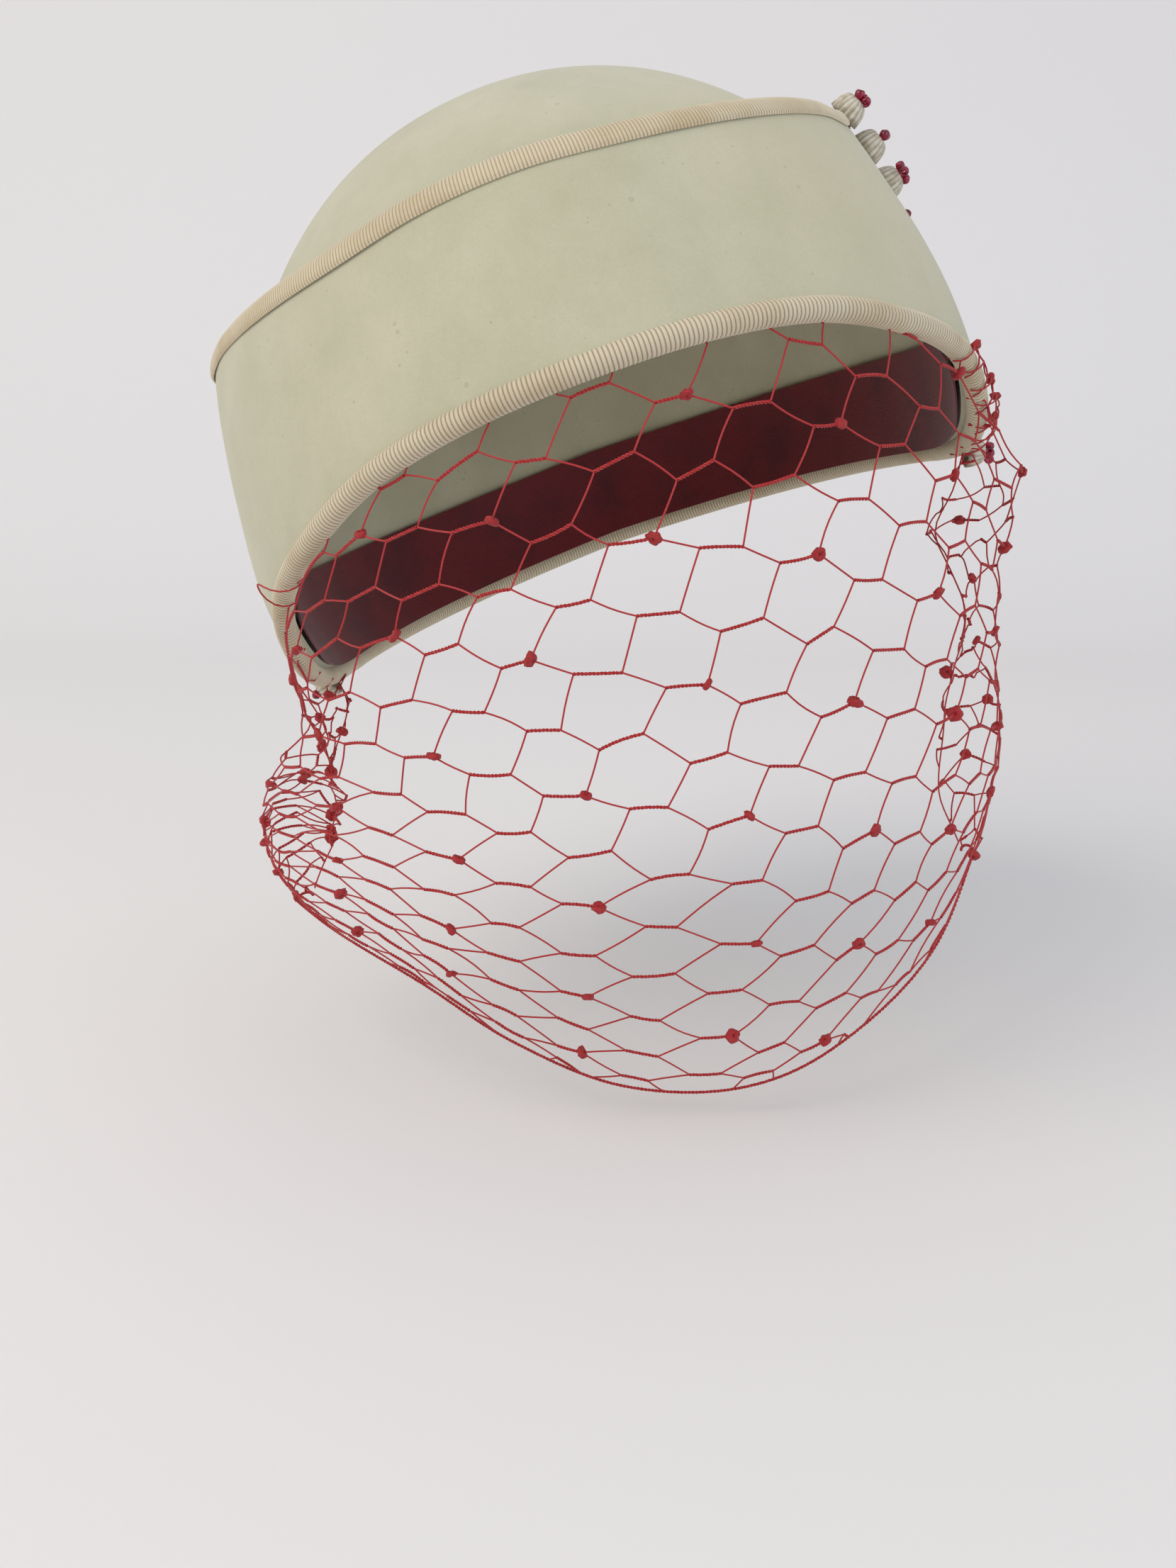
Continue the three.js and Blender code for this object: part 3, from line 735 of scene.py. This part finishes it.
braid = straw_braid()
draw = random.Random(11)
for side in ("left", "right"):
    for index in range(CUPS_A_SIDE):
        number = f"{side}_{index + 1:02d}"
        seed = draw.uniform(0, 99)
        cup = curved_grid(
            "pleated_cup_" + number,
            CUP_PLEATS * CUP_STEPS_A_PLEAT,
            CUP_STEPS_UP,
            lambda u, v, seed=seed: cup_place(u, v, seed),
            2 * math.pi * CUP_RADIUS,
            CUP_HEIGHT,
        )
        close_seam(cup)
        give_wall(cup, CUP_WALL)
        nod = Matrix.Rotation(draw.uniform(-CUP_NOD, CUP_NOD), 4, "X")
        cup.data.transform(cup_seat(side, index) @ nod)
        finish_piece(cup, braid, "cup_satin", "cup_" + number)


# Beads
# Round ruby glass seed beads, 2.4 mm across, two to four sewn to the tip of each cup.
BEAD_RADIUS = 1.2 * MM
BEAD_HOLE_RADIUS = 0.3 * MM
BEAD_HALF_LENGTH = 0.95 * MM
BEAD_COUNTS = {"left": [3, 2, 2], "right": [3, 2, 4, 2]}
BEAD_SPACING = 2.2 * MM
# Bounds of the random tilt, in radians, and of the lift, in radii
BEAD_TILTS = (0.3, 1.5)
BEAD_LIFTS = (-0.2, 0.6)
BEAD_SEAT_SHARE = 0.6
WHOLE_TURN = 6.28


# Ruby glass: clear and strongly coloured, fire-polished smooth, so small sharp highlights.
def ruby_glass():
    material, surface = new_material("ruby glass")
    surface.inputs["Base Color"].default_value = paint("#ae1542")
    surface.inputs["Roughness"].default_value = 0.06
    surface.inputs["IOR"].default_value = 1.52
    surface.inputs["Transmission Weight"].default_value = 0.75
    return material


ruby = ruby_glass()


def bead_ring(name, count, seed):
    """Touching beads at the tip of a cup whose axis is +Z, as one object."""
    pick = random.Random(seed)
    ring_radius = BEAD_SPACING / 2 / math.sin(math.pi / count)
    tube = (BEAD_RADIUS - BEAD_HOLE_RADIUS) / 2
    beads = []
    for i in range(count):
        turn = 2 * math.pi * i / count
        bpy.ops.mesh.primitive_torus_add(
            major_segments=20,
            minor_segments=12,
            major_radius=BEAD_HOLE_RADIUS + tube,
            minor_radius=tube,
        )
        bead = bpy.context.object
        bead.data.transform(Matrix.Diagonal((1, 1, BEAD_HALF_LENGTH / tube, 1)))
        tilt = Matrix.Rotation(pick.uniform(*BEAD_TILTS), 4, "X")
        swing = Matrix.Rotation(pick.uniform(0, WHOLE_TURN), 4, "Z")
        lift = pick.uniform(*BEAD_LIFTS) * BEAD_RADIUS
        at = Vector(
            (
                ring_radius * math.cos(turn),
                ring_radius * math.sin(turn),
                CUP_HEIGHT + BEAD_RADIUS * BEAD_SEAT_SHARE + lift,
            )
        )
        bead.data.transform(Matrix.Translation(at) @ swing @ tilt)
        beads.append(bead)
    return join_pieces(beads, name)


for side in ("left", "right"):
    for index in range(CUPS_A_SIDE):
        number = f"{side}_{index + 1:02d}"
        counts = BEAD_COUNTS[side]
        count = counts[index % len(counts)]
        cluster = bead_ring("glass_beads_" + number, count, index)
        cluster.data.transform(cup_seat(side, index))
        finish_piece(cluster, ruby, "bead_glass", "beads_" + number)


# Veil
# Red rayon net of six-sided meshes, about 16 mm wide. Along each row a short thick twisted
# link and a longer fine one take turns, and fine threads join each row to the next. It is
# sewn inside the roll, gathered into folds at both corners, and edged with a twisted thread.
VEIL_SECTIONS = [
    {"angle": -98, "mid": (-73, -11, -168), "low": (-75, -27, -193), "wave": 6},
    {"angle": -75, "mid": (-75, -43, -163), "low": (-59, -43, -198), "wave": 3},
    {"angle": -50, "mid": (-58, -75, -153), "low": (-36, -59, -205), "wave": 0},
    {"angle": -25, "mid": (-29, -95, -155), "low": (-14, -67, -216), "wave": 0},
    {"angle": 0, "mid": (5, -100, -157), "low": (11, -70, -225), "wave": 0},
    {"angle": 25, "mid": (43, -96, -149), "low": (38, -68, -226), "wave": 0},
    {"angle": 50, "mid": (75, -77, -141), "low": (61, -61, -218), "wave": 0},
    {"angle": 75, "mid": (96, -45, -137), "low": (85, -45, -200), "wave": 0},
    {"angle": 93, "mid": (101, -7, -133), "low": (102, -17, -174), "wave": -4},
]
# Places in the net are shares of its width and of its length, as it hangs in front
MESH_STEP = 0.0525
LINK_STEP = 0.025
LINK_RISE = 0.016
ROW_STEP = 0.08
ROW_START = 0.02
ROW_SLOPE = 0.63
ROW_DRIFT = 0.0375
FIRST_ROW = -6
LAST_ROW = 19
LOWER_FROM_ROW = 7
LOWER_ROWS = 5
LOWER_SLOPE = 0.04
LOWER_DRIFT = 0.0225
LOWER_SPREAD = 0.035
ACROSS_JITTER = 0.0035
DOWN_JITTER = 0.007
MERGE_FROM = 0.94
MERGED_AT = 1.01
FOLD_FROM = 0.465
FOLD_END = 0.11
FOLD_LIMIT = FOLD_FROM + FOLD_END
FOLD_TURN_DEG = 205
# The loose fold at each corner, by share of the way down: its radius, how far it puffs out
# from the head, and how much it is drawn in to the pinch where the net is caught
FOLDS = {
    "left": [
        {"down": 0, "radius": 1.2 * MM, "puff": 0, "pinch": 0},
        {"down": 0.1, "radius": 3 * MM, "puff": 0, "pinch": 0.2},
        {"down": 0.2, "radius": 2.5 * MM, "puff": 0, "pinch": 0.55},
        {"down": 0.29, "radius": 1.2 * MM, "puff": 0, "pinch": 0.93},
        {"down": 0.33, "radius": 2 * MM, "puff": 0, "pinch": 0.85},
        {"down": 0.38, "radius": 6 * MM, "puff": 0, "pinch": 0.1},
        {"down": 0.46, "radius": 8 * MM, "puff": 0, "pinch": 0},
        {"down": 0.8, "radius": 8 * MM, "puff": 0, "pinch": 0},
        {"down": 1, "radius": 2 * MM, "puff": 0, "pinch": 0},
    ],
    "right": [
        {"down": 0, "radius": 2 * MM, "puff": 2.5 * MM, "pinch": 0},
        {"down": 0.1, "radius": 7 * MM, "puff": 8.5 * MM, "pinch": 0},
        {"down": 0.2, "radius": 7.5 * MM, "puff": 3.5 * MM, "pinch": 0.1},
        {"down": 0.28, "radius": 5 * MM, "puff": 0.5 * MM, "pinch": 0.4},
        {"down": 0.38, "radius": 3 * MM, "puff": 0, "pinch": 0.8},
        {"down": 0.5, "radius": 5 * MM, "puff": 0, "pinch": 0.3},
        {"down": 0.62, "radius": 7 * MM, "puff": 1 * MM, "pinch": 0},
        {"down": 0.85, "radius": 6.5 * MM, "puff": 0, "pinch": 0},
        {"down": 1, "radius": 1.5 * MM, "puff": 0, "pinch": 0},
    ],
}
# Where the threads meet at each pinch, as a place in the net and a way across from it, and
# how far from the middle of the net they begin to be drawn in and are so in full
PINCHES = {
    "left": {"place": (0.12, 0.3), "across": 13.5 * MM, "from": 0.2, "to": 0.35},
    "right": {"place": (0.88, 0.4), "across": -7.5 * MM, "from": 0.42, "to": 0.47},
}
LEAST_PULL = 0.05
PUFF_FROM = 0.3
PUFF_TO = 0.4
FOLD_JITTER = 0.9 * MM
THIN_RADIUS = 0.2 * MM
PLY_RADIUS = 0.21 * MM
PLY_SPREAD = 0.9
PLY_TURN = 1.5 * MM
PLY_STEPS_A_TURN = 6
THREAD_SIDES = 5
SEWN_AT_DEG = -153
SEWN_LIMIT = 0.49
VEIL_STEPS = 40
STRAND_STEPS = 5
SHORTEST_SHARE = 0.05
COLUMNS = range(-20, 50)
DOTS_END = 0.97
# Steps to each side of a place that give the net's direction there
PROBE_ACROSS = 0.01
PROBE_DOWN = 0.02
# Share of the net's length within which a place counts as on its edge
AT_EDGE = 0.001
# The bow of a thread that isn't pulled tight, as a share of its length
NET_SLACK = 0.035
FOLD_SLACK = 0.07
LOOP_SLACK = 0.1
# Slack threads that have slipped out over the roll at both corners, and their dots
SLIPPED_LOOPS = [
    {"angle": -57.5, "spread": 3, "reach": 3.5 * MM, "has_dot": False},
    {"angle": 63, "spread": 2.5, "reach": 0.3 * MM, "has_dot": True},
    {"angle": 67, "spread": 3, "reach": 0.5 * MM, "has_dot": False},
    {"angle": 71, "spread": 2.5, "reach": 1.2 * MM, "has_dot": True},
    {"angle": 75, "spread": 3.5, "reach": 2.2 * MM, "has_dot": True},
    {"angle": 79.5, "spread": 3, "reach": 3.5 * MM, "has_dot": False},
    {"angle": 84, "spread": 3.5, "reach": 4.5 * MM, "has_dot": True},
]
LOOP_STEPS = 14
LOOP_START_DEG = -115
LOOP_TURN_DEG = 135
LINKED_WITHIN_DEG = 6
LOWER_EDGE_STEPS = 150
SIDE_EDGE_STEPS = 40

veil_rows = [
    {
        "index": i,
        "angle": row["angle"],
        "wave": row["wave"] * MM,
        **{f"mid_{k}": row["mid"][k] * MM for k in range(3)},
        **{f"low_{k}": row["low"][k] * MM for k in range(3)},
    }
    for i, row in enumerate(VEIL_SECTIONS)
]


@lru_cache(maxsize=4096)
def veil_section(u):
    """Top, pull and low points and the wave of the veil's section at a share of its width."""
    at = u * (len(veil_rows) - 1)
    value = lambda column: along(veil_rows, "index", column, at)
    top = roll_centre(value("angle"))
    top.z -= ROLL_RADIUS + THIN_RADIUS
    top = hat_frame @ top
    mid = Vector([value(f"mid_{k}") for k in range(3)])
    low = Vector([value(f"low_{k}") for k in range(3)])
    return top, mid * 2 - top * 0.5 - low * 0.5, low, value("wave")


def veil_point(u, v):
    top, pull, low, wave = veil_section(round(u, 5))
    point = top * (1 - v) ** 2 + pull * (2 * v * (1 - v)) + low * v * v
    point.x -= math.copysign(wave, point.x) * math.sin(2 * math.pi * v)
    return point


@lru_cache(maxsize=4096)
def veil_lengths(u):
    """Lengths along the veil's section from the roll, step by step."""
    lengths = [0.0]
    for i in range(VEIL_STEPS):
        step = veil_point(u, (i + 1) / VEIL_STEPS) - veil_point(u, i / VEIL_STEPS)
        lengths.append(lengths[-1] + step.length)
    return lengths


def hung(u, share):
    """Point of the veil at a share of the way down a thread of it."""
    u = min(max(round(u, 3), 0), 1)
    lengths = veil_lengths(u)
    want = share * lengths[-1]
    i = 0
    while i < VEIL_STEPS - 1 and lengths[i + 1] < want:
        i += 1
    t = (want - lengths[i]) / (lengths[i + 1] - lengths[i])
    return veil_point(u, (i + t) / VEIL_STEPS)


def net_point(across, down):
    """Point of the net.

    Its sides puff out from the head, turn in to it in a loose rolled fold, and are drawn
    in to a pinch. Its last rows close up towards the lower edge.
    """
    off = across - 0.5
    past = abs(off) - FOLD_FROM
    if down > MERGED_AT - AT_EDGE:
        down = 1
    elif down > MERGE_FROM:
        left = 1 - MERGE_FROM
        down = 1 - left * math.exp(-(down - MERGE_FROM) / left)
    side = "right" if off > 0 else "left"
    pinch = PINCHES[side]
    if abs(off) < min(PUFF_FROM, pinch["from"]):
        return hung(across, down)
    sign = 1 if off > 0 else -1
    u = 0.5 + sign * min(abs(off), FOLD_FROM)
    round_it = hung(u + PROBE_ACROSS, down) - hung(u - PROBE_ACROSS, down)
    round_it.normalize()
    downward = hung(u, down + PROBE_DOWN) - hung(u, down - PROBE_DOWN)
    out = downward.cross(round_it).normalized()
    puff = along(FOLDS[side], "down", "puff", down)
    puffed = smooth((abs(off) - PUFF_FROM) / (PUFF_TO - PUFF_FROM))
    point = hung(u, down) + out * puff * puffed
    if past > 0:
        turn = math.radians(FOLD_TURN_DEG) * past / FOLD_END
        swing = round_it * sign * math.sin(turn) - out * (1 - math.cos(turn))
        point += swing * along(FOLDS[side], "down", "radius", down)
    pull = min(max(along(FOLDS[side], "down", "pinch", down), 0), 1)
    pull *= smooth((abs(off) - pinch["from"]) / (pinch["to"] - pinch["from"]))
    caught_at = hung(*pinch["place"])
    point.x += (caught_at.x + pinch["across"] - point.x) * pull
    point.y += (caught_at.y - point.y) * pull
    return point


def knot(row, column, is_high):
    """Place in the net of the low or the high end of a thick link."""
    pick = random.Random(row * 1000 + column * 10 + is_high)
    lower = min(max(row - LOWER_FROM_ROW, 0), LOWER_ROWS)
    drift = ROW_DRIFT * (row - 1) + LOWER_DRIFT * max(row - LOWER_FROM_ROW, 0)
    off = MESH_STEP * column - drift + (LINK_STEP if is_high else 0)
    off *= 1 + LOWER_SPREAD * lower
    down = ROW_START + ROW_STEP * row + (ROW_SLOPE + LOWER_SLOPE * lower) * off
    down -= LINK_RISE if is_high else 0
    off += pick.uniform(-1, 1) * ACROSS_JITTER
    down += pick.uniform(-1, 1) * DOWN_JITTER
    return 0.5 + off, down


def is_folded(place):
    return abs(place[0] - 0.5) > FOLD_FROM


def is_near_pinch(place):
    off = place[0] - 0.5
    side = "right" if off > 0 else "left"
    pull = along(FOLDS[side], "down", "pinch", place[1])
    return abs(off) > PINCHES[side]["from"] and pull > LEAST_PULL


def is_in_net(place):
    return abs(place[0] - 0.5) < FOLD_LIMIT and 0 < place[1] < MERGED_AT


@lru_cache(maxsize=8192)
def knot_point(place):
    """Where a knot hangs. In the folds each is pushed a little out of line."""
    point = net_point(*place)
    if is_folded(place) and is_in_net(place):
        pick = random.Random(round(place[0] * 1e6))
        point += Vector([pick.uniform(-1, 1) for _ in range(3)]) * FOLD_JITTER
    return point


def cut_at_edges(a, b):
    """Shares of the way from a to b between which a strand is inside the net's edges."""
    start, end = 0, 1
    for room_a, room_b in (
        (a[1], b[1]),
        (MERGED_AT - a[1], MERGED_AT - b[1]),
        (FOLD_LIMIT - (a[0] - 0.5), FOLD_LIMIT - (b[0] - 0.5)),
        (FOLD_LIMIT + (a[0] - 0.5), FOLD_LIMIT + (b[0] - 0.5)),
    ):
        if room_a < 0 and room_b < 0:
            return 1, 0
        if room_a < 0:
            start = max(start, room_a / (room_a - room_b))
        if room_b < 0:
            end = min(end, room_a / (room_a - room_b))
    return start, end


def on_roll(angle, turn_deg, reach):
    """Point round the roll: a turn of 0 is outward, 90 is up and 180 is towards the head."""
    centre, up, out = roll_station(round(angle / 360 + 0.5, 6))
    turn = math.radians(turn_deg)
    return hat_frame @ (centre + (out * math.cos(turn) + up * math.sin(turn)) * reach)


def sewn_point(across):
    """Where a thread goes up inside the roll."""
    u = 0.5 + max(min(across - 0.5, SEWN_LIMIT), -SEWN_LIMIT)
    angle = along(veil_rows, "index", "angle", u * (len(veil_rows) - 1))
    return on_roll(angle, SEWN_AT_DEG, ROLL_RADIUS + THIN_RADIUS)


thread_points = []
thread_faces = []
thread_uvs = []


def add_thread(path, radius):
    """Adds a thin tube along a path to the net's mesh."""
    first = len(thread_points)
    run = 0
    runs = []
    side = None
    for i, centre in enumerate(path):
        ahead = (path[min(i + 1, len(path) - 1)] - path[max(i - 1, 0)]).normalized()
        side = side if side else ahead.orthogonal()
        side = (side - ahead * side.dot(ahead)).normalized()
        other = ahead.cross(side)
        run += (path[i] - path[max(i - 1, 0)]).length
        runs.append(run)
        for j in range(THREAD_SIDES):
            turn = 2 * math.pi * j / THREAD_SIDES
            thread_points.append(
                centre + (side * math.cos(turn) + other * math.sin(turn)) * radius
            )
    for i in range(len(path) - 1):
        for j in range(THREAD_SIDES):
            k = (j + 1) % THREAD_SIDES
            a = first + i * THREAD_SIDES
            b = a + THREAD_SIDES
            thread_faces.append((a + j, a + k, b + k, b + j))
            v0, v1 = j / THREAD_SIDES * MM, (j + 1) / THREAD_SIDES * MM
            thread_uvs.extend(
                [(runs[i], v0), (runs[i], v1), (runs[i + 1], v1), (runs[i + 1], v0)]
            )


def slack_line(a, b, slack, seed):
    """Points from a to b, with the small bow of a thread that isn't pulled tight."""
    pick = random.Random(seed)
    bow = Vector([pick.uniform(-1, 1) for _ in range(3)]) * slack * (b - a).length
    return [
        a.lerp(b, i / STRAND_STEPS) + bow * math.sin(math.pi * i / STRAND_STEPS)
        for i in range(STRAND_STEPS + 1)
    ]


def add_twisted(path):
    """Adds two plies that wind round each other along a path."""
    length = sum((b - a).length for a, b in zip(path, path[1:]))
    steps = max(PLY_STEPS_A_TURN, round(length / PLY_TURN * PLY_STEPS_A_TURN))
    side = None
    plies = ([], [])
    for i in range(steps + 1):
        at = i / steps * (len(path) - 1)
        k = min(int(at), len(path) - 2)
        ahead = (path[k + 1] - path[k]).normalized()
        side = side if side else ahead.orthogonal()
        side = (side - ahead * side.dot(ahead)).normalized()
        other = ahead.cross(side)
        turn = 2 * math.pi * i * length / steps / PLY_TURN
        off = side * math.cos(turn) + other * math.sin(turn)
        off = off * PLY_RADIUS * PLY_SPREAD
        middle = path[k].lerp(path[k + 1], at - k)
        plies[0].append(middle + off)
        plies[1].append(middle - off)
    for ply in plies:
        add_thread(ply, PLY_RADIUS)


def add_strand(a, b, is_thick, seed):
    """Adds the part of a strand between two knots that is inside the net's edges."""
    start, end = cut_at_edges(a, b)
    if end - start < SHORTEST_SHARE:
        return
    slack = FOLD_SLACK if is_folded(a) or is_folded(b) else NET_SLACK
    between = lambda t: (a[0] + (b[0] - a[0]) * t, a[1] + (b[1] - a[1]) * t)
    first_place, last_place = between(start), between(end)
    first = knot_point(a) if start == 0 else net_point(*first_place)
    last = knot_point(b) if end == 1 else net_point(*last_place)
    path = slack_line(first, last, slack, seed)
    if is_near_pinch(a) or is_near_pinch(b):
        for i in range(1, STRAND_STEPS):
            share = start + (end - start) * i / STRAND_STEPS
            path[i] = net_point(*between(share))
    if a[1] < 0 and first_place[1] < AT_EDGE:
        path.insert(0, sewn_point(first_place[0]))
    if b[1] < 0 and last_place[1] < AT_EDGE:
        path.append(sewn_point(last_place[0]))
    if is_thick:
        add_twisted(path)
    else:
        add_thread(path, THIN_RADIUS)


dots = []
for row in range(FIRST_ROW, LAST_ROW):
    for column in COLUMNS:
        low = knot(row, column, 0)
        high = knot(row, column, 1)
        next_low = knot(row, column + 1, 0)
        below = knot(row + 1, column, 1)
        seed = row * 97 + column
        add_strand(low, high, True, seed)
        add_strand(high, next_low, False, seed + 7)
        if not (is_folded(low) and column % 2):
            add_strand(low, below, False, seed + 13)
        has_dot = row % 2 == 0 and column % 2 == (0 if row == 0 else 1)
        if has_dot and is_in_net(high) and high[1] < DOTS_END:
            dots.append(knot_point(high))

crests = []
for loop in SLIPPED_LOOPS:
    path = []
    for i in range(LOOP_STEPS + 1):
        rise = math.sin(math.pi * i / LOOP_STEPS)
        angle = loop["angle"] + loop["spread"] * (2 * i / LOOP_STEPS - 1)
        reach = ROLL_RADIUS + 2 * THIN_RADIUS + loop["reach"] * rise**2
        path.append(on_roll(angle, LOOP_START_DEG + LOOP_TURN_DEG * rise, reach))
    add_thread(path, THIN_RADIUS)
    crest = path[LOOP_STEPS // 2]
    if loop["has_dot"]:
        dots.append(crest)
    if crests and loop["angle"] - crests[-1]["angle"] < LINKED_WITHIN_DEG:
        link = slack_line(crests[-1]["place"], crest, LOOP_SLACK, loop["angle"])
        add_thread(link, THIN_RADIUS)
    crests.append({"angle": loop["angle"], "place": crest})

lower_edge = [
    net_point(0.5 + FOLD_LIMIT * (2 * i / LOWER_EDGE_STEPS - 1), MERGED_AT)
    for i in range(LOWER_EDGE_STEPS + 1)
]
add_twisted(lower_edge)
for across in (0.5 - FOLD_LIMIT, 0.5 + FOLD_LIMIT):
    steps = range(SIDE_EDGE_STEPS + 1)
    add_thread([net_point(across, i / SIDE_EDGE_STEPS) for i in steps], THIN_RADIUS)


# Net thread: twisted viscose rayon, bright red, with a slight silky sheen.
def net_thread(name, light, shade):
    material, surface = new_material(name)
    place = add_node(material, "ShaderNodeTexCoord")
    turned = add_node(
        material,
        "ShaderNodeMapping",
        {"Rotation": (0, 0, math.radians(35))},
        {"Vector": place.outputs["UV"]},
    )
    wound = {"Scale": 900, "Distortion": 0.4, "Detail": 1}
    twist = pattern(material, "Wave", turned.outputs["Vector"], wound)
    # Painted shade: the grooves of the twist are darkened, in step with the bump.
    tone = two_tones(material, twist, 0.2, shade, 0.7, light)
    silky = {"Roughness": 0.55, "Sheen Weight": 0.05}
    finish_surface(material, surface, tone, twist, 0.4, 0.05 * MM, silky)
    return material


red_thread = net_thread("red rayon net thread", "#ba2022", "#8e1417")
mesh = bpy.data.meshes.new("net_veil")
mesh.from_pydata(thread_points, [], thread_faces)
uv_layer = mesh.uv_layers.new(name="UVMap")
for corner, uv in zip(uv_layer.data, thread_uvs):
    corner.uv = uv
veil = bpy.data.objects.new("net_veil", mesh)
bpy.context.collection.objects.link(veil)
finish_piece(veil, red_thread, "net", "veil_net")


# Dots
# Small round knots of red chenille cord, wound round the net at every second mesh.
DOT_RADIUS = 1.45 * MM
DOT_RING_SHARE = 0.52
DOT_TUBE_SHARE = 0.5
# Bounds of the random size and tilt, in radians, and the height and spacing of the lumps
DOT_SIZES = (0.85, 1.15)
DOT_TILTS = (0.2, 1.5)
DOT_LUMP = 0.3
DOT_LUMPS_ACROSS = 1.3
COIL_RIDGES = 5
COIL_RIDGE = 0.07
COIL_LEAN = 5


def dot_coil(name, place, seed):
    pick = random.Random(seed)
    bpy.ops.mesh.primitive_torus_add(
        major_segments=16,
        minor_segments=8,
        major_radius=DOT_RADIUS * DOT_RING_SHARE,
        minor_radius=DOT_RADIUS * DOT_TUBE_SHARE,
    )
    made = bpy.context.object
    made.name = made.data.name = name
    size = pick.uniform(*DOT_SIZES)
    for vertex in made.data.vertices:
        where = vertex.co / DOT_RADIUS
        lump = noise.noise(where * DOT_LUMPS_ACROSS + Vector((seed, 0, 0))) * DOT_LUMP
        turn = math.atan2(where.y, where.x)
        ridge = COIL_RIDGE * math.sin(COIL_RIDGES * turn + where.z * COIL_LEAN)
        vertex.co *= (1 + lump + ridge) * size
    lie = Matrix.Rotation(pick.uniform(0, WHOLE_TURN), 4, "Z")
    lie @= Matrix.Rotation(pick.uniform(*DOT_TILTS), 4, "X")
    made.data.transform(Matrix.Translation(place) @ lie)
    return made


red_chenille = net_thread("red chenille cord", "#b91c22", "#801014")
coils = [dot_coil(f"coil_{i}", place, i) for i, place in enumerate(dots)]
dots_piece = join_pieces(coils, "chenille_dots")
finish_piece(dots_piece, red_chenille, "net")


# Floor and light
# A plain pale sweep, one large soft window light from the upper left and a weak fill.
FLOOR_HEIGHT = -0.232
FLOOR_SIZE = 5
WALL_BACK = 1.1
WALL_RISE = 3
SWEEP_WIDTH = 0.5
SWEEP_STEPS = 24
ROOM_LIGHT = 0.8
LIT_POINT = (0, 0, -0.08)

bpy.ops.mesh.primitive_plane_add(
    size=FLOOR_SIZE, location=(0, WALL_BACK - FLOOR_SIZE / 2, FLOOR_HEIGHT)
)
floor = bpy.context.object
floor.name = "floor"
bpy.ops.object.mode_set(mode="EDIT")
bpy.ops.mesh.select_all(action="DESELECT")
bpy.ops.object.mode_set(mode="OBJECT")
for edge in floor.data.edges:
    ends = [floor.data.vertices[i].co.y for i in edge.vertices]
    edge.select = min(ends) > 0
bpy.ops.object.mode_set(mode="EDIT")
bpy.ops.mesh.select_mode(type="EDGE")
bpy.ops.mesh.extrude_region_move(TRANSFORM_OT_translate={"value": (0, 0, WALL_RISE)})
bpy.ops.mesh.select_mode(type="VERT")
bpy.ops.object.mode_set(mode="OBJECT")
sweep = floor.modifiers.new("sweep", "BEVEL")
sweep.width = SWEEP_WIDTH
sweep.segments = SWEEP_STEPS
bpy.ops.object.modifier_apply(modifier=sweep.name)
bpy.ops.object.shade_smooth()
backdrop, backdrop_surface = new_material("pale painted backdrop")
backdrop_surface.inputs["Base Color"].default_value = paint("#e3e1df")
backdrop_surface.inputs["Roughness"].default_value = 0.9
floor.data.materials.append(backdrop)

world = bpy.data.worlds.new("soft room light")
world.use_nodes = True
sky = world.node_tree.nodes["Background"]
sky.inputs["Color"].default_value = paint("#e9edf5")
sky.inputs["Strength"].default_value = ROOM_LIGHT
bpy.context.scene.world = world
bpy.context.scene.view_settings.view_transform = "Standard"

LIGHT_SIZE = 1.2
LIGHTS = [
    {"name": "window", "place": (-1.0, -0.8, 1.0), "power": 15, "tint": "#fff4e8"},
    {"name": "fill", "place": (1.2, -1.0, 0.3), "power": 7, "tint": "#e8edff"},
]
for light in LIGHTS:
    toward = Vector(LIT_POINT) - Vector(light["place"])
    bpy.ops.object.light_add(
        type="AREA",
        location=light["place"],
        rotation=toward.to_track_quat("-Z", "Y").to_euler(),
    )
    lamp = bpy.context.object
    lamp.name = light["name"]
    lamp.data.size = LIGHT_SIZE
    lamp.data.energy = light["power"]
    lamp.data.color = paint(light["tint"])[:3]
